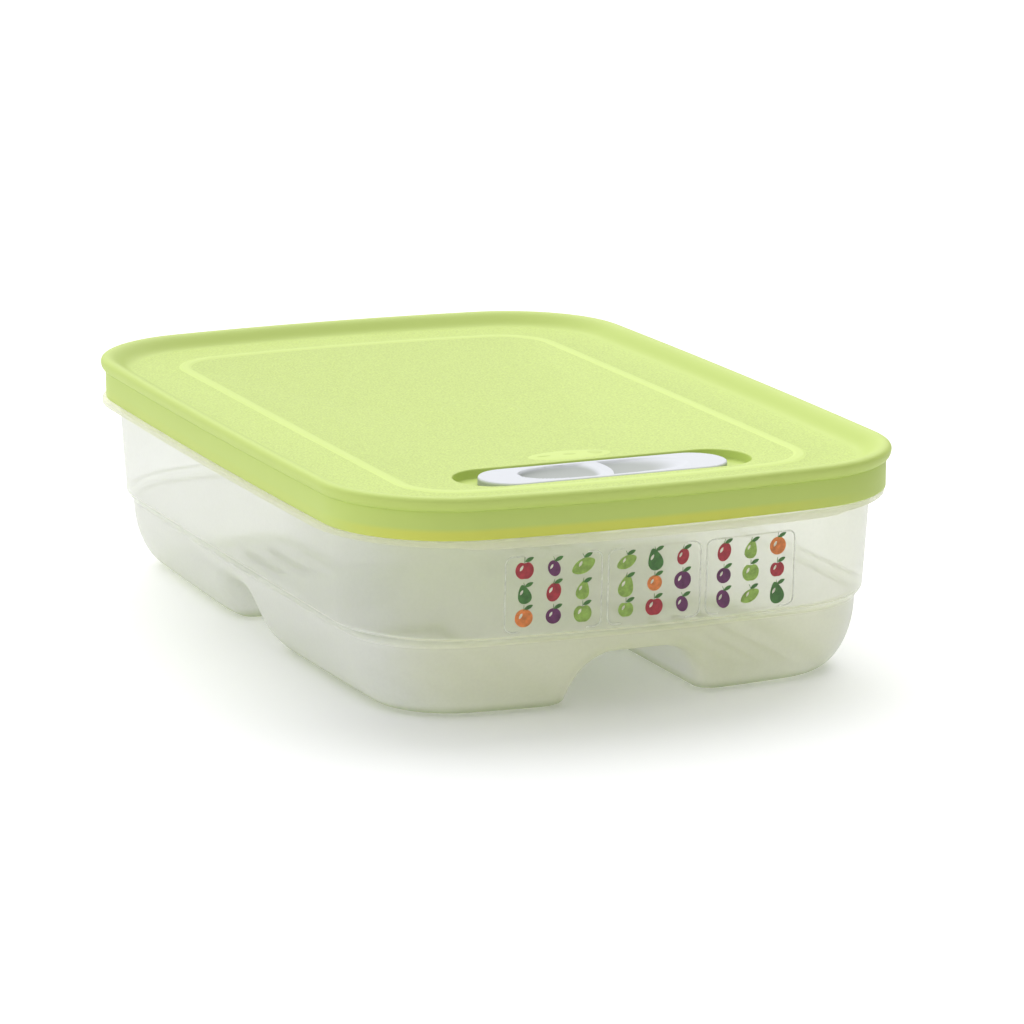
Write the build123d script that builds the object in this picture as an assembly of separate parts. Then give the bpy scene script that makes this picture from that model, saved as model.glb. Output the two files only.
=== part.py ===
from build123d import *
import math
import os

# A shallow fridge keeper for produce: a translucent moulded container on four
# broad feet, a soft lid that snaps over its rim, and a sliding vent in the lid.
# Millimetres, +Z up. X runs across the keeper and Y along it, the vent end
# faces -Y, and the origin lies at the middle of the footprint on the table.

# Lid outline, measured over its rolled rim
LID_WIDTH = 196.0
LID_LENGTH = 291.6
SIDE_BOW = 2.2             # swell of a long side past its corners
END_BOW = 8.4              # swell of a short end past its corners
LID_CORNER = 43.7

# Container rim and grip flange, by their heights over the table
FLANGE_TOP = 60.0
FLANGE_THICK = 1.3
FLANGE_IN = 0.2            # flange edge, in from the lid's widest line
FRONT_FLANGE_CORNER = 50.0  # rounder than the lid's, so the skirt hides it at the vent end
BACK_FLANGE_CORNER = 44.5
LIP_WALL = 1.2
LIP_DROP = 1.9             # flange top to its turned-down edge, at the sides
END_LIP_DROP = 2.5         # the same at the short ends
END_LIP_IN = 34.5          # the deeper edge stops this far from the lid's sides
RIM_DEPTH = 10.0           # rim height over the flange
RIM_WALL = 1.4
SNAP_BEAD = 0.5            # the rim's outer bead stands proud by this
SNAP_BEAD_HEIGHT = 2.4
SNAP_BEAD_DROP = 0.8       # top of the rim down to the bead

# Lid section
LID_OVER_RIM = 4.0         # top of the container's rim to the crest of the lid
RIM_CREST_IN = 2.1         # crest of the rolled rim, in from its widest line
RIM_ROLL = 1.6             # height of the crest over the widest line
RIM_TUCK = 3.0             # height of the widest line over the skirt
SKIRT_IN = 1.6             # skirt face, in from the rim's widest line
SKIRT_WALL = 1.4
SKIRT_GAP = 0.3            # skirt's lower edge to the flange
COVE_RUN = 8.6             # width of the slope from the crest to the panel
COVE_STEPS = 5
PANEL_DROP = 4.2           # crest of the rim down to the panel
PANEL_WALL = 1.6
PLUG_WALL = 1.3            # inner sealing wall of the lid
PLUG_DROP = 2.9            # reach of the sealing wall under the panel
SEAL_GAP = 0.3             # clearance between the lid and the container's rim

# Container walls, each level given by how far it lies in from the lid's widest line
WALL = 1.6
WALL_TOP_IN = 6.6
LEDGE_TOP_IN_X = 8.3
LEDGE_TOP_IN_Y = 7.8
LEDGE_TOP_Z = 27.4
LEDGE_BOTTOM_Z = 24.1
WALL_SIDE_BOW = 0.4
WALL_END_BOW = 8.4
WALL_CORNER = 39.6

# Bowl under the ledge: a quarter ellipse from the ledge down to the feet
FOOT_IN_X = 23.5
FOOT_IN_Y = 24.6
FOOT_CORNER = 21.6
BOWL_RUN_X = 13.5
BOWL_RUN_Y = 10.8
BOWL_CORNER_RUN = 8.9
BOWL_SIDE_BOW = 2.5
BOWL_END_BOW = 6.5
BOWL_STEPS = 5

# Channels between the feet
CHANNEL_TOP = 17.2
CHANNEL_RADIUS = 14.5      # rounding of the channel roof
FOOT_ROUND = 2.7           # rounding where a foot meets its channel
LONG_CHANNEL_FLAT = 8.3    # half of the flat roof, lengthwise channel
CROSS_CHANNEL_FLAT = 4.5   # the same, crosswise channel

# Ribs on the container's floor that hold the produce off the wet
RIB_HEIGHT = 1.4
RIB_WIDTH = 2.2
RIB_PITCH = 9.0
RIBS_PER_FOOT = 4
RIB_MARGIN = 17.0          # rib end to the end of its foot

# Raised line and marks on the lid's panel
LINE_IN_X = 29.4           # centre of the raised line, in from the lid's long sides
LINE_IN_Y = 27.0           # the same at the short ends
LINE_WIDTH = 4.0
LINE_SIDE_BOW = 0.4
LINE_END_BOW = 5.0
LINE_CORNER = 19.4
RAISED = 0.3
MARK_PAD_IN = 21.0         # pad centre, in from the vent's middle
MARK_PAD_LENGTH = 30.0
MARK_PAD_WIDTH = 12.5

# Vent pocket in the lid
VENT_IN = 46.2             # middle of the vent, in from the lid's end
POCKET_LENGTH = 101.0
POCKET_WIDTH = 25.8
POCKET_DEPTH = 3.0
POCKET_WALL = 1.5
AIR_SLOT_WIDTH = 4.0       # along the travel
AIR_SLOT_LENGTH = 10.0     # across the travel
AIR_BRIDGE = 3.0           # wall between a slot and its neighbour's window
LEG_BRIDGE = 5.5           # wall between an air slot and a leg slot

# Slider, and the running clearance of the vent's moving pieces
SLIDE_TRAVEL = 8.0         # each way from the middle
SLIDER_END_GAP = 0.4       # left at each end of the travel
SLIDER_SIDE_GAP = 1.6
RUNNING_GAP = 0.3
SLIDER_SUNK = 0.2          # slider's face under the panel
SLIDER_SKIN = 0.9
SLIDER_WALL = 1.6
SLIDER_EDGE = 0.5          # bevel of its upper edge
SCOOP_END = 13.5           # slider's end to the finger scoop
SCOOP_SIDE = 2.5           # slider's side to the finger scoop
SCOOP_DEPTH = 1.4
SCOOP_RIB = 6.0

# Shutter under the pocket floor, carried by the slider's legs
SHUTTER_THICK = 1.6
SHUTTER_LAP = 3.0          # shutter past the air slots, across the travel
SHUTTER_END = 4.5          # shutter past its legs, along the travel
LEG_LENGTH = 5.0           # along the travel
LEG_THICK = 2.4
LEG_FIT = 0.15             # leg to the shutter's slot
BARB = 0.7
BARB_HEIGHT = 1.2

# Levels and places worked out from the sizes above
RIM_TOP = FLANGE_TOP + RIM_DEPTH
LID_HEIGHT = RIM_TOP + LID_OVER_RIM
WIDEST_Z = LID_HEIGHT - RIM_ROLL
SKIRT_TOP = WIDEST_Z - RIM_TUCK
SKIRT_BOTTOM = FLANGE_TOP + SKIRT_GAP
PANEL_Z = LID_HEIGHT - PANEL_DROP
PANEL_UNDER = PANEL_Z - PANEL_WALL
SKIRT_INNER_IN = SKIRT_IN + SKIRT_WALL
RIM_OUTER_IN = SKIRT_INNER_IN + SEAL_GAP + SNAP_BEAD
RIM_INNER_IN = RIM_OUTER_IN + RIM_WALL
PLUG_OUTER_IN = RIM_INNER_IN + SEAL_GAP
PLUG_INNER_IN = PLUG_OUTER_IN + PLUG_WALL
FOOT_X = LID_WIDTH / 2 - FOOT_IN_X
FOOT_Y = LID_LENGTH / 2 - FOOT_IN_Y
VENT_Y = VENT_IN - LID_LENGTH / 2
MARK_PAD_Y = VENT_Y + MARK_PAD_IN
POCKET_FLOOR = PANEL_Z - POCKET_DEPTH
POCKET_UNDER = POCKET_FLOOR - POCKET_WALL
AIR_SLOT_PITCH = 2 * SLIDE_TRAVEL + AIR_SLOT_WIDTH + AIR_BRIDGE
LEG_SLOT_LENGTH = LEG_LENGTH + 2 * (SLIDE_TRAVEL + RUNNING_GAP)
LEG_X = (AIR_SLOT_PITCH + AIR_SLOT_WIDTH + LEG_SLOT_LENGTH) / 2 + LEG_BRIDGE
SLIDER_LENGTH = POCKET_LENGTH - 2 * (SLIDE_TRAVEL + SLIDER_END_GAP)
SLIDER_WIDTH = POCKET_WIDTH - 2 * SLIDER_SIDE_GAP
SLIDER_BOTTOM = POCKET_FLOOR + RUNNING_GAP
SLIDER_TOP = PANEL_Z - SLIDER_SUNK
SHUTTER_TOP = POCKET_UNDER - RUNNING_GAP
SHUTTER_BOTTOM = SHUTTER_TOP - SHUTTER_THICK
SHUTTER_LENGTH = 2 * (LEG_X + SHUTTER_END) + LEG_LENGTH
SHUTTER_WIDTH = AIR_SLOT_LENGTH + 2 * SHUTTER_LAP


def ring(half_x, half_y, side_bow, end_bow, corner, z, back_corner=None):
    """A rounded rectangle with four swelling sides, as a face at height z.

    The two corners at +Y take back_corner where one is given."""
    corner_x = half_x - side_bow
    corner_y = half_y - end_bow
    with BuildSketch(Plane.XY.offset(z)) as sketch:
        with BuildLine():
            ThreePointArc((corner_x, -corner_y), (half_x, 0), (corner_x, corner_y))
            ThreePointArc((corner_x, corner_y), (0, half_y), (-corner_x, corner_y))
            ThreePointArc((-corner_x, corner_y), (-half_x, 0), (-corner_x, -corner_y))
            ThreePointArc((-corner_x, -corner_y), (0, -half_y), (corner_x, -corner_y))
        make_face()
        fillet(sketch.vertices().group_by(Axis.Y)[0], corner)
        fillet(sketch.vertices().group_by(Axis.Y)[-1], back_corner or corner)
    return sketch.sketch


def lid_ring(inset, z):
    """The lid's outline, drawn in by inset."""
    half_x = LID_WIDTH / 2 - inset
    half_y = LID_LENGTH / 2 - inset
    return ring(half_x, half_y, SIDE_BOW, END_BOW, LID_CORNER - inset, z)


def flange_ring(wall, z):
    """The grip flange's outline, drawn in by a wall thickness."""
    half_x = LID_WIDTH / 2 - FLANGE_IN - wall
    half_y = LID_LENGTH / 2 - FLANGE_IN - wall
    front = FRONT_FLANGE_CORNER - wall
    back = BACK_FLANGE_CORNER - wall
    return ring(half_x, half_y, SIDE_BOW, END_BOW, front, z, back)


def wall_ring(in_x, in_y, thickness, z):
    """The container's upper wall at one level, drawn in by a wall thickness."""
    half_x = LID_WIDTH / 2 - in_x - thickness
    half_y = LID_LENGTH / 2 - in_y - thickness
    return ring(half_x, half_y, WALL_SIDE_BOW, WALL_END_BOW, WALL_CORNER - thickness, z)


def bowl_ring(turn, thickness):
    """The bowl's outline at an angle round its quarter ellipse, 0 at the ledge."""
    out = math.cos(turn)
    half_x = FOOT_X + (BOWL_RUN_X - thickness) * out
    half_y = FOOT_Y + (BOWL_RUN_Y - thickness) * out
    corner = FOOT_CORNER + (BOWL_CORNER_RUN - thickness) * out
    z = LEDGE_BOTTOM_Z - (LEDGE_BOTTOM_Z - thickness) * math.sin(turn)
    return ring(half_x, half_y, BOWL_SIDE_BOW, BOWL_END_BOW, corner, z)


def body_levels(thickness, top_z):
    """Outlines from the feet up to the top of the wall, outer or inner skin."""
    levels = []
    for step in range(BOWL_STEPS + 1):
        turn = math.radians(90 * (1 - step / BOWL_STEPS))
        levels.append(bowl_ring(turn, thickness))
    levels.append(wall_ring(LEDGE_TOP_IN_X, LEDGE_TOP_IN_Y, thickness, LEDGE_TOP_Z))
    levels.append(wall_ring(WALL_TOP_IN, WALL_TOP_IN, thickness, top_z))
    return levels


def channel_profile(plane, flat, grow, below):
    """An arch: flat roof, round shoulders and, on the outside, feet rounded at the table."""
    radius = CHANNEL_RADIUS + grow
    spring = CHANNEL_TOP - CHANNEL_RADIUS
    side = flat + radius
    slant = math.sin(math.radians(45))
    foot = side + FOOT_ROUND - grow
    heel = FOOT_ROUND - grow
    toe = (side + heel * (1 - slant), spring - heel * slant)
    with BuildSketch(plane) as sketch:
        with BuildLine():
            Line((-flat, spring + radius), (flat, spring + radius))
            shoulder = (flat + radius * slant, spring + radius * slant)
            ThreePointArc((flat, spring + radius), shoulder, (side, spring))
            ThreePointArc((side, spring), toe, (foot, spring - heel))
            Line((foot, spring - heel), (foot, -below))
            Line((foot, -below), (-foot, -below))
            Line((-foot, -below), (-foot, spring - heel))
            ThreePointArc((-foot, spring - heel), (-toe[0], toe[1]), (-side, spring))
            shoulder = (-flat - radius * slant, spring + radius * slant)
            ThreePointArc((-side, spring), shoulder, (-flat, spring + radius))
        make_face()
    return sketch.sketch


def channels(grow, below):
    """Both channels as solids that run out past the container."""
    along = channel_profile(Plane.XZ, LONG_CHANNEL_FLAT, grow, below)
    across = channel_profile(Plane.YZ, CROSS_CHANNEL_FLAT, grow, below)
    return extrude(along, LID_LENGTH, both=True) + extrude(across, LID_WIDTH, both=True)


def floor_ribs():
    """A field of low ribs in the middle of each foot's floor."""
    hump_x = LONG_CHANNEL_FLAT + CHANNEL_RADIUS + WALL
    hump_y = CROSS_CHANNEL_FLAT + CHANNEL_RADIUS + WALL
    length = FOOT_Y - hump_y - 2 * RIB_MARGIN
    ribs = Part()
    for side in (-1, 1):
        for end in (-1, 1):
            for index in range(RIBS_PER_FOOT):
                x = side * (hump_x + FOOT_X) / 2 + (index - (RIBS_PER_FOOT - 1) / 2) * RIB_PITCH
                y = end * (hump_y + FOOT_Y) / 2
                ribs += Pos(x, y, WALL) * Box(RIB_WIDTH, length, 2 * RIB_HEIGHT)
    return ribs


def flange():
    """The grip flange round the wall, with its edge turned down, deeper at the ends."""
    under = FLANGE_TOP - FLANGE_THICK
    plate = extrude(flange_ring(0, under), FLANGE_THICK)
    lip_low = FLANGE_TOP - LIP_DROP
    lip = extrude(flange_ring(0, lip_low), LIP_DROP)
    lip -= extrude(flange_ring(LIP_WALL, lip_low), LIP_DROP)
    end_low = FLANGE_TOP - END_LIP_DROP
    end_lip = extrude(flange_ring(0, end_low), END_LIP_DROP)
    end_lip -= extrude(flange_ring(LIP_WALL, end_low), END_LIP_DROP)
    end_width = LID_WIDTH - 2 * END_LIP_IN
    end_lip &= Pos(0, 0, FLANGE_TOP) * Box(end_width, LID_LENGTH, 2 * END_LIP_DROP)
    return plate + lip + end_lip


def rim():
    """The upright rim over the flange, with the bead that the lid snaps over."""
    upright = extrude(lid_ring(RIM_OUTER_IN, FLANGE_TOP), RIM_DEPTH)
    high = RIM_TOP - SNAP_BEAD_DROP
    bead_high = lid_ring(RIM_OUTER_IN, high)
    bead_mid = lid_ring(RIM_OUTER_IN - SNAP_BEAD, high - SNAP_BEAD_HEIGHT / 2)
    bead_low = lid_ring(RIM_OUTER_IN, high - SNAP_BEAD_HEIGHT)
    return upright + loft([bead_low, bead_mid, bead_high], ruled=True)


def container():
    """The translucent container, moulded in one piece."""
    shell = loft(body_levels(0, FLANGE_TOP), ruled=True) + flange() + rim()
    shell -= channels(0, FOOT_ROUND)
    hollow = loft(body_levels(WALL, FLANGE_TOP), ruled=True) - channels(WALL, FOOT_ROUND)
    hollow += extrude(lid_ring(RIM_INNER_IN, FLANGE_TOP), RIM_DEPTH)
    return shell - hollow + floor_ribs()


def stadium(length, width, z, height):
    """A round-ended block standing on height z, centred on the vent."""
    with BuildSketch(Plane.XY.offset(z)) as sketch:
        SlotOverall(length, width)
    return Pos(0, VENT_Y, 0) * extrude(sketch.sketch, height)


def rim_roll():
    """The lid's rolled rim: a rounded bead from the skirt over the crest."""
    rings = [lid_ring(SKIRT_IN, SKIRT_TOP)]
    for angle in (-60, -30, 0, 30, 60):
        lean = math.cos(math.radians(angle))
        rise = math.sin(math.radians(angle))
        tall = RIM_ROLL if angle > 0 else RIM_TUCK
        rings.append(lid_ring(RIM_CREST_IN * (1 - lean), WIDEST_Z + tall * rise))
    rings.append(lid_ring(RIM_CREST_IN, LID_HEIGHT))
    return loft(rings, ruled=True)


def top_dish():
    """The hollow over the panel: a cove that falls from the crest in an S."""
    rings = []
    for step in range(COVE_STEPS + 1):
        share = step / COVE_STEPS
        inset = RIM_CREST_IN + COVE_RUN * (1 - share)
        fall = PANEL_DROP * (1 + math.cos(math.pi * share)) / 2
        rings.append(lid_ring(inset, LID_HEIGHT - fall))
    return loft(rings, ruled=True)


def raised_line():
    """The smooth line that frames the panel."""
    faces = []
    for shift in (-LINE_WIDTH / 2, LINE_WIDTH / 2):
        half_x = LID_WIDTH / 2 - LINE_IN_X + shift
        half_y = LID_LENGTH / 2 - LINE_IN_Y + shift
        faces.append(ring(half_x, half_y, LINE_SIDE_BOW, LINE_END_BOW, LINE_CORNER + shift, PANEL_Z))
    return extrude(faces[1], RAISED) - extrude(faces[0], RAISED)


def mark_pad():
    """The raised oval beside the vent that carries the position marks."""
    with BuildSketch(Plane.XY.offset(PANEL_Z)) as sketch:
        Ellipse(MARK_PAD_LENGTH / 2, MARK_PAD_WIDTH / 2)
    return Pos(0, MARK_PAD_Y, 0) * extrude(sketch.sketch, RAISED)


def pocket_cuts():
    """Air slots and leg slots through the pocket floor."""
    slot_width = LEG_THICK + 2 * RUNNING_GAP
    through = 4 * POCKET_WALL
    cuts = Part()
    for side in (-1, 1):
        air = Pos(side * AIR_SLOT_PITCH / 2, VENT_Y, POCKET_FLOOR)
        cuts += air * Box(AIR_SLOT_WIDTH, AIR_SLOT_LENGTH, through)
        leg_slot = Pos(side * LEG_X, VENT_Y, POCKET_FLOOR)
        cuts += leg_slot * Box(LEG_SLOT_LENGTH, slot_width, through)
    return cuts


def lid():
    """The soft lid: rolled rim, skirt, sealing wall, panel and vent pocket."""
    skirt = extrude(lid_ring(SKIRT_IN, SKIRT_BOTTOM), SKIRT_TOP - SKIRT_BOTTOM)
    body = skirt + rim_roll() - top_dish()
    plug_low = PANEL_UNDER - PLUG_DROP
    groove_top = RIM_TOP + SEAL_GAP
    body -= extrude(lid_ring(SKIRT_INNER_IN, SKIRT_BOTTOM), plug_low - SKIRT_BOTTOM)
    groove = extrude(lid_ring(SKIRT_INNER_IN, plug_low), groove_top - plug_low)
    groove -= extrude(lid_ring(PLUG_OUTER_IN, plug_low), groove_top - plug_low)
    body -= groove
    body -= extrude(lid_ring(PLUG_INNER_IN, plug_low), PLUG_DROP)
    body += raised_line() + mark_pad()
    outer_length = POCKET_LENGTH + 2 * POCKET_WALL
    outer_width = POCKET_WIDTH + 2 * POCKET_WALL
    body += stadium(outer_length, outer_width, POCKET_UNDER, PANEL_UNDER - POCKET_UNDER)
    body -= stadium(POCKET_LENGTH, POCKET_WIDTH, POCKET_FLOOR, 2 * POCKET_DEPTH)
    return body - pocket_cuts()


def finger_scoop():
    """A shallow boat-shaped hollow, in two halves that meet at a cross rib."""
    floor = SLIDER_TOP - SCOOP_DEPTH
    half_length = SLIDER_LENGTH / 2 - SCOOP_END
    half_width = SLIDER_WIDTH / 2 - SCOOP_SIDE
    with BuildSketch(Plane.XY.offset(floor)) as mouth:
        Ellipse(half_length, half_width)
    with BuildSketch(Plane.XZ) as keel:
        with BuildLine():
            ThreePointArc((-half_length, SLIDER_TOP), (0, floor), (half_length, SLIDER_TOP))
            Line((half_length, SLIDER_TOP), (-half_length, SLIDER_TOP))
        make_face()
    hollow = extrude(mouth.sketch, SCOOP_DEPTH) & extrude(keel.sketch, SLIDER_WIDTH, both=True)
    rib = Pos(0, 0, floor + SCOOP_DEPTH / 3) * Box(SCOOP_RIB, SLIDER_WIDTH, SCOOP_DEPTH)
    return Pos(0, VENT_Y, 0) * (hollow - rib)


def leg(side):
    """One leg of the slider, with a barb under the shutter."""
    barb_top = SHUTTER_BOTTOM - LEG_FIT
    low = barb_top - BARB_HEIGHT
    shank = Pos(0, 0, low) * Box(LEG_LENGTH, LEG_THICK, SLIDER_TOP - SLIDER_SKIN - low,
                                 align=(Align.CENTER, Align.CENTER, Align.MIN))
    edge = side * LEG_LENGTH / 2
    with BuildSketch(Plane.XZ) as sketch:
        with BuildLine():
            Polyline((edge, barb_top), (edge + side * BARB, barb_top), (edge, low), close=True)
        make_face()
    hook = extrude(sketch.sketch, LEG_THICK / 2, both=True)
    return Pos(side * LEG_X, VENT_Y, 0) * (shank + hook)


def vent_slider():
    """The hard slider: a round-ended shell with a finger scoop and two legs."""
    height = SLIDER_TOP - SLIDER_BOTTOM
    block = stadium(SLIDER_LENGTH, SLIDER_WIDTH, SLIDER_BOTTOM, height)
    block = chamfer(block.edges().group_by(Axis.Z)[-1], SLIDER_EDGE)
    inner_length = SLIDER_LENGTH - 2 * SLIDER_WALL
    inner_width = SLIDER_WIDTH - 2 * SLIDER_WALL
    hollow = stadium(inner_length, inner_width, SLIDER_BOTTOM, height - SLIDER_SKIN)
    scoop = finger_scoop()
    lining = Pos(0, 0, -SLIDER_SKIN) * scoop
    lining += scoop
    hollow -= lining
    return block - hollow - scoop + leg(-1) + leg(1)


def vent_shutter():
    """The plate under the pocket: shut at -X, half open in the middle, open at +X."""
    plate = stadium(SHUTTER_LENGTH, SHUTTER_WIDTH, SHUTTER_BOTTOM, SHUTTER_THICK)
    window = SLIDE_TRAVEL + AIR_SLOT_WIDTH / 2
    through = 4 * SHUTTER_THICK
    for side in (-1, 1):
        air = Pos((side * AIR_SLOT_PITCH - window) / 2, VENT_Y, SHUTTER_TOP)
        plate -= air * Box(window, AIR_SLOT_LENGTH, through)
        leg_slot = Pos(side * LEG_X, VENT_Y, SHUTTER_TOP)
        plate -= leg_slot * Box(LEG_LENGTH + 2 * LEG_FIT, LEG_THICK + 2 * LEG_FIT, through)
    return plate


pieces = {
    "container": container(),
    "lid": lid(),
    "vent_slider": vent_slider(),
    "vent_shutter": vent_shutter(),
}

os.makedirs("parts", exist_ok=True)
for name, piece in pieces.items():
    export_step(piece, f"parts/{name}.step")
    print(name, len(piece.solids()), round(piece.volume / 1000, 2), "cm3")
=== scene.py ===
# %% [markdown]
# # A produce keeper with a sliding vent
# Four plastic pieces make this keeper: a milky container on four broad feet, a soft green
# lid pressed over its rim, a hard white slider set into the lid, and a shutter plate that
# the slider carries under the lid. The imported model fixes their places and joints. This
# lesson gives the three pieces that show most a smooth surface worked out with numpy.

import bmesh
import bpy
import numpy as np
from mathutils import Matrix, Vector


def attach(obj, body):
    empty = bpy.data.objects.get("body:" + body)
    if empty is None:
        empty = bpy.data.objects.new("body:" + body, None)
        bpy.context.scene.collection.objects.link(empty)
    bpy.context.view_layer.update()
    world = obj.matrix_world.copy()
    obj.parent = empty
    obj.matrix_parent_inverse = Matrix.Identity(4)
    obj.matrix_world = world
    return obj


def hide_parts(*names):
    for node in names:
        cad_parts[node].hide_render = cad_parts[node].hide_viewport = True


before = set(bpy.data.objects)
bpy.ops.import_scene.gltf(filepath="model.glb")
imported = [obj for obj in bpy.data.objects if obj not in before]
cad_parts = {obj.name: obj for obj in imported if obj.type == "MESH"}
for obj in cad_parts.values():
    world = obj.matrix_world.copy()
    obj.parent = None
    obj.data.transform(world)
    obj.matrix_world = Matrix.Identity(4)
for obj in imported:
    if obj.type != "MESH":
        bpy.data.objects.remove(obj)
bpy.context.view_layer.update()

# %% [markdown]
# ## Sizes
# All sizes are in millimetres, as a drawing of the keeper would give them. Each level of a
# moulding is a rounded rectangle whose four sides swell a little, so one row of numbers is
# enough for a level: half width, half length, the swell of the sides and of the ends, the
# corner radius at the vent end and at the back, the height, and how far it dips at the ends.

# %% Lid and flange
MM = 0.001
LID_HALF_X, LID_HALF_Y = 98.0, 145.8
SIDE_BOW, END_BOW = 2.2, 8.4
LID_CORNER = 43.7
CREST_Z, WIDEST_Z, CREASE_Z, SKIRT_LOW = 74.0, 72.4, 69.4, 60.3
PANEL_Z, PANEL_UNDER = 69.8, 68.2
CREST_IN, SKIRT_IN, SKIRT_INNER_IN = 2.1, 1.6, 3.0
CREASE_STEP, CREASE_FALL, TUCK_TURN = 0.15, 0.5, 68.0
COVE_RUN = 8.6
PLUG_OUTER_IN, PLUG_INNER_IN, PLUG_LOW = 5.5, 6.8, 65.3
GROOVE_TOP, UNDER_RUN, UNDER_ROUND = 70.3, 20.0, 0.35
FLANGE_TOP, FLANGE_UNDER, LIP_LOW, END_LIP_LOW = 60.0, 58.7, 58.1, 57.5
FLANGE_IN, LIP_WALL = 0.2, 1.2
FRONT_FLANGE_CORNER, BACK_FLANGE_CORNER = 50.0, 44.5
END_LIP_X, END_LIP_FADE = 63.5, 3.0
RIM_OUTER_IN, RIM_INNER_IN, RIM_TOP = 3.8, 5.2, 70.0
SNAP_BEAD, SNAP_BEAD_DROP, SNAP_BEAD_HALF = 0.5, 0.8, 1.2
LINE_X, LINE_Y, LINE_HALF, LINE_LIFT = 68.6, 118.8, 2.0, 0.3
LINE_SIDE_BOW, LINE_END_BOW, LINE_CORNER = 0.4, 5.0, 19.4

# %% Container
WALL = 1.6
WALL_TOP_IN, LEDGE_IN_X, LEDGE_IN_Y = 6.6, 8.3, 7.8
LEDGE_TOP_Z, LEDGE_LOW_Z = 27.4, 24.1
WALL_SIDE_BOW, WALL_END_BOW, WALL_CORNER = 0.4, 8.4, 39.6
FOOT_X, FOOT_Y, FOOT_CORNER = 74.5, 121.2, 21.6
BOWL_RUN_X, BOWL_RUN_Y, BOWL_CORNER_RUN = 13.5, 10.8, 8.9
BOWL_SIDE_BOW, BOWL_END_BOW = 2.5, 6.5
CHANNEL_TOP, CHANNEL_RADIUS, FOOT_ROUND = 17.2, 14.5, 2.7
LONG_FLAT, CROSS_FLAT = 8.3, 4.5
MOUTH_ROUND = 5.5
MOUTH_FROM_X, MOUTH_FADE_X = 53.0, 18.0
MOUTH_FROM_Y, MOUTH_FADE_Y = 98.0, 20.0
ARCH_LOW, CROSSING_ROUND, BOWL_ROUND = 3.0, 3.0, 1.6
RIB_WIDTH, RIB_HEIGHT, RIB_LENGTH, RIB_PITCH, RIB_SINK = 2.2, 1.4, 65.5, 9.0, 0.3

# %% Vent
VENT_Y = 46.2 - LID_HALF_Y
POCKET_LENGTH, POCKET_WIDTH, POCKET_FLOOR, POCKET_UNDER = 101.0, 25.8, 66.8, 65.3
POCKET_WALL = 1.5
SLIDER_LENGTH, SLIDER_WIDTH = 84.2, 22.6
SLIDER_TOP, SLIDER_LOW, SLIDER_WALL, SLIDER_SKIN = 69.6, 67.1, 1.6, 0.9
AIR_X, AIR_HALF_X, AIR_HALF_Y = 11.5, 2.0, 5.0
LEG_X, LEG_SLOT_HALF_X, LEG_SLOT_HALF_Y = 29.8, 10.8, 1.5
SCOOP_HALF, SCOOP_HALF_WIDTH, SCOOP_DEPTH = 28.6, 9.2, 2.35

# %% [markdown]
# ## A level of a moulding
# Moulded boxes have no straight sides: they swell, which keeps them from looking caved in.
# Such an outline could be drawn as a curve and bevelled, but then its points can't be matched
# from one level to the next. Here each outline is worked out point by point from the two
# arcs and the corner circle that touches both, for all the levels at once.

# %% Levels as rows of eight numbers
def rows(half_x, half_y, side_bow, end_bow, front_corner, back_corner, z, end_dip=0.0):
    """Stacks the eight numbers of each level: (levels, 8)."""
    columns = np.broadcast_arrays(
        half_x, half_y, side_bow, end_bow, front_corner, back_corner, z, end_dip)
    return np.stack([np.atleast_1d(c).astype(float) for c in columns], axis=-1)


def lid_rows(inset, z):
    """Levels that follow the lid's outline, drawn in by inset."""
    inset = np.asarray(inset, float)
    corner = LID_CORNER - inset
    return rows(LID_HALF_X - inset, LID_HALF_Y - inset, SIDE_BOW, END_BOW, corner, corner, z)


def flange_rows(wall, z, end_dip):
    """Levels of the grip flange, drawn in by a wall thickness."""
    wall = np.asarray(wall, float)
    inset = FLANGE_IN + wall
    return rows(LID_HALF_X - inset, LID_HALF_Y - inset, SIDE_BOW, END_BOW,
                FRONT_FLANGE_CORNER - wall, BACK_FLANGE_CORNER - wall, z, end_dip)


def wall_rows(in_x, in_y, thickness, z):
    """Levels of the container's upper wall."""
    corner = WALL_CORNER - thickness
    return rows(LID_HALF_X - in_x - thickness, LID_HALF_Y - in_y - thickness,
                WALL_SIDE_BOW, WALL_END_BOW, corner, corner, z)


def bowl_rows(turn, thickness):
    """Levels round the bowl's quarter ellipse: out = cos(turn), down = sin(turn)."""
    out, down = np.cos(turn), np.sin(turn)
    corner = FOOT_CORNER + (BOWL_CORNER_RUN - thickness) * out
    return rows(FOOT_X + (BOWL_RUN_X - thickness) * out, FOOT_Y + (BOWL_RUN_Y - thickness) * out,
                BOWL_SIDE_BOW, BOWL_END_BOW, corner, corner,
                LEDGE_LOW_Z - (LEDGE_LOW_Z - thickness) * down)


# %% Rounded edges in a section
def soften(levels, radius, steps=4):
    """Rounds the corners of a section. Each inner level becomes a short curve
    (1-t)² before + 2t(1-t) corner + t² after, between points `radius` away on both sides."""
    run = np.linalg.norm(np.diff(levels[:, [0, 6]], axis=0), axis=1)
    share = np.minimum(radius / np.maximum(run, 1e-9), 0.45)[:, None]
    corner = levels[1:-1]
    before = corner + (levels[:-2] - corner) * share[:-1]
    after = corner + (levels[2:] - corner) * share[1:]
    t = np.linspace(0, 1, steps + 1)[:, None]
    curve = ((1 - t) ** 2 * before[:, None] + 2 * t * (1 - t) * corner[:, None]
             + t ** 2 * after[:, None])
    return np.concatenate([levels[:1], curve.reshape(-1, 8), levels[-1:]])


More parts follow.
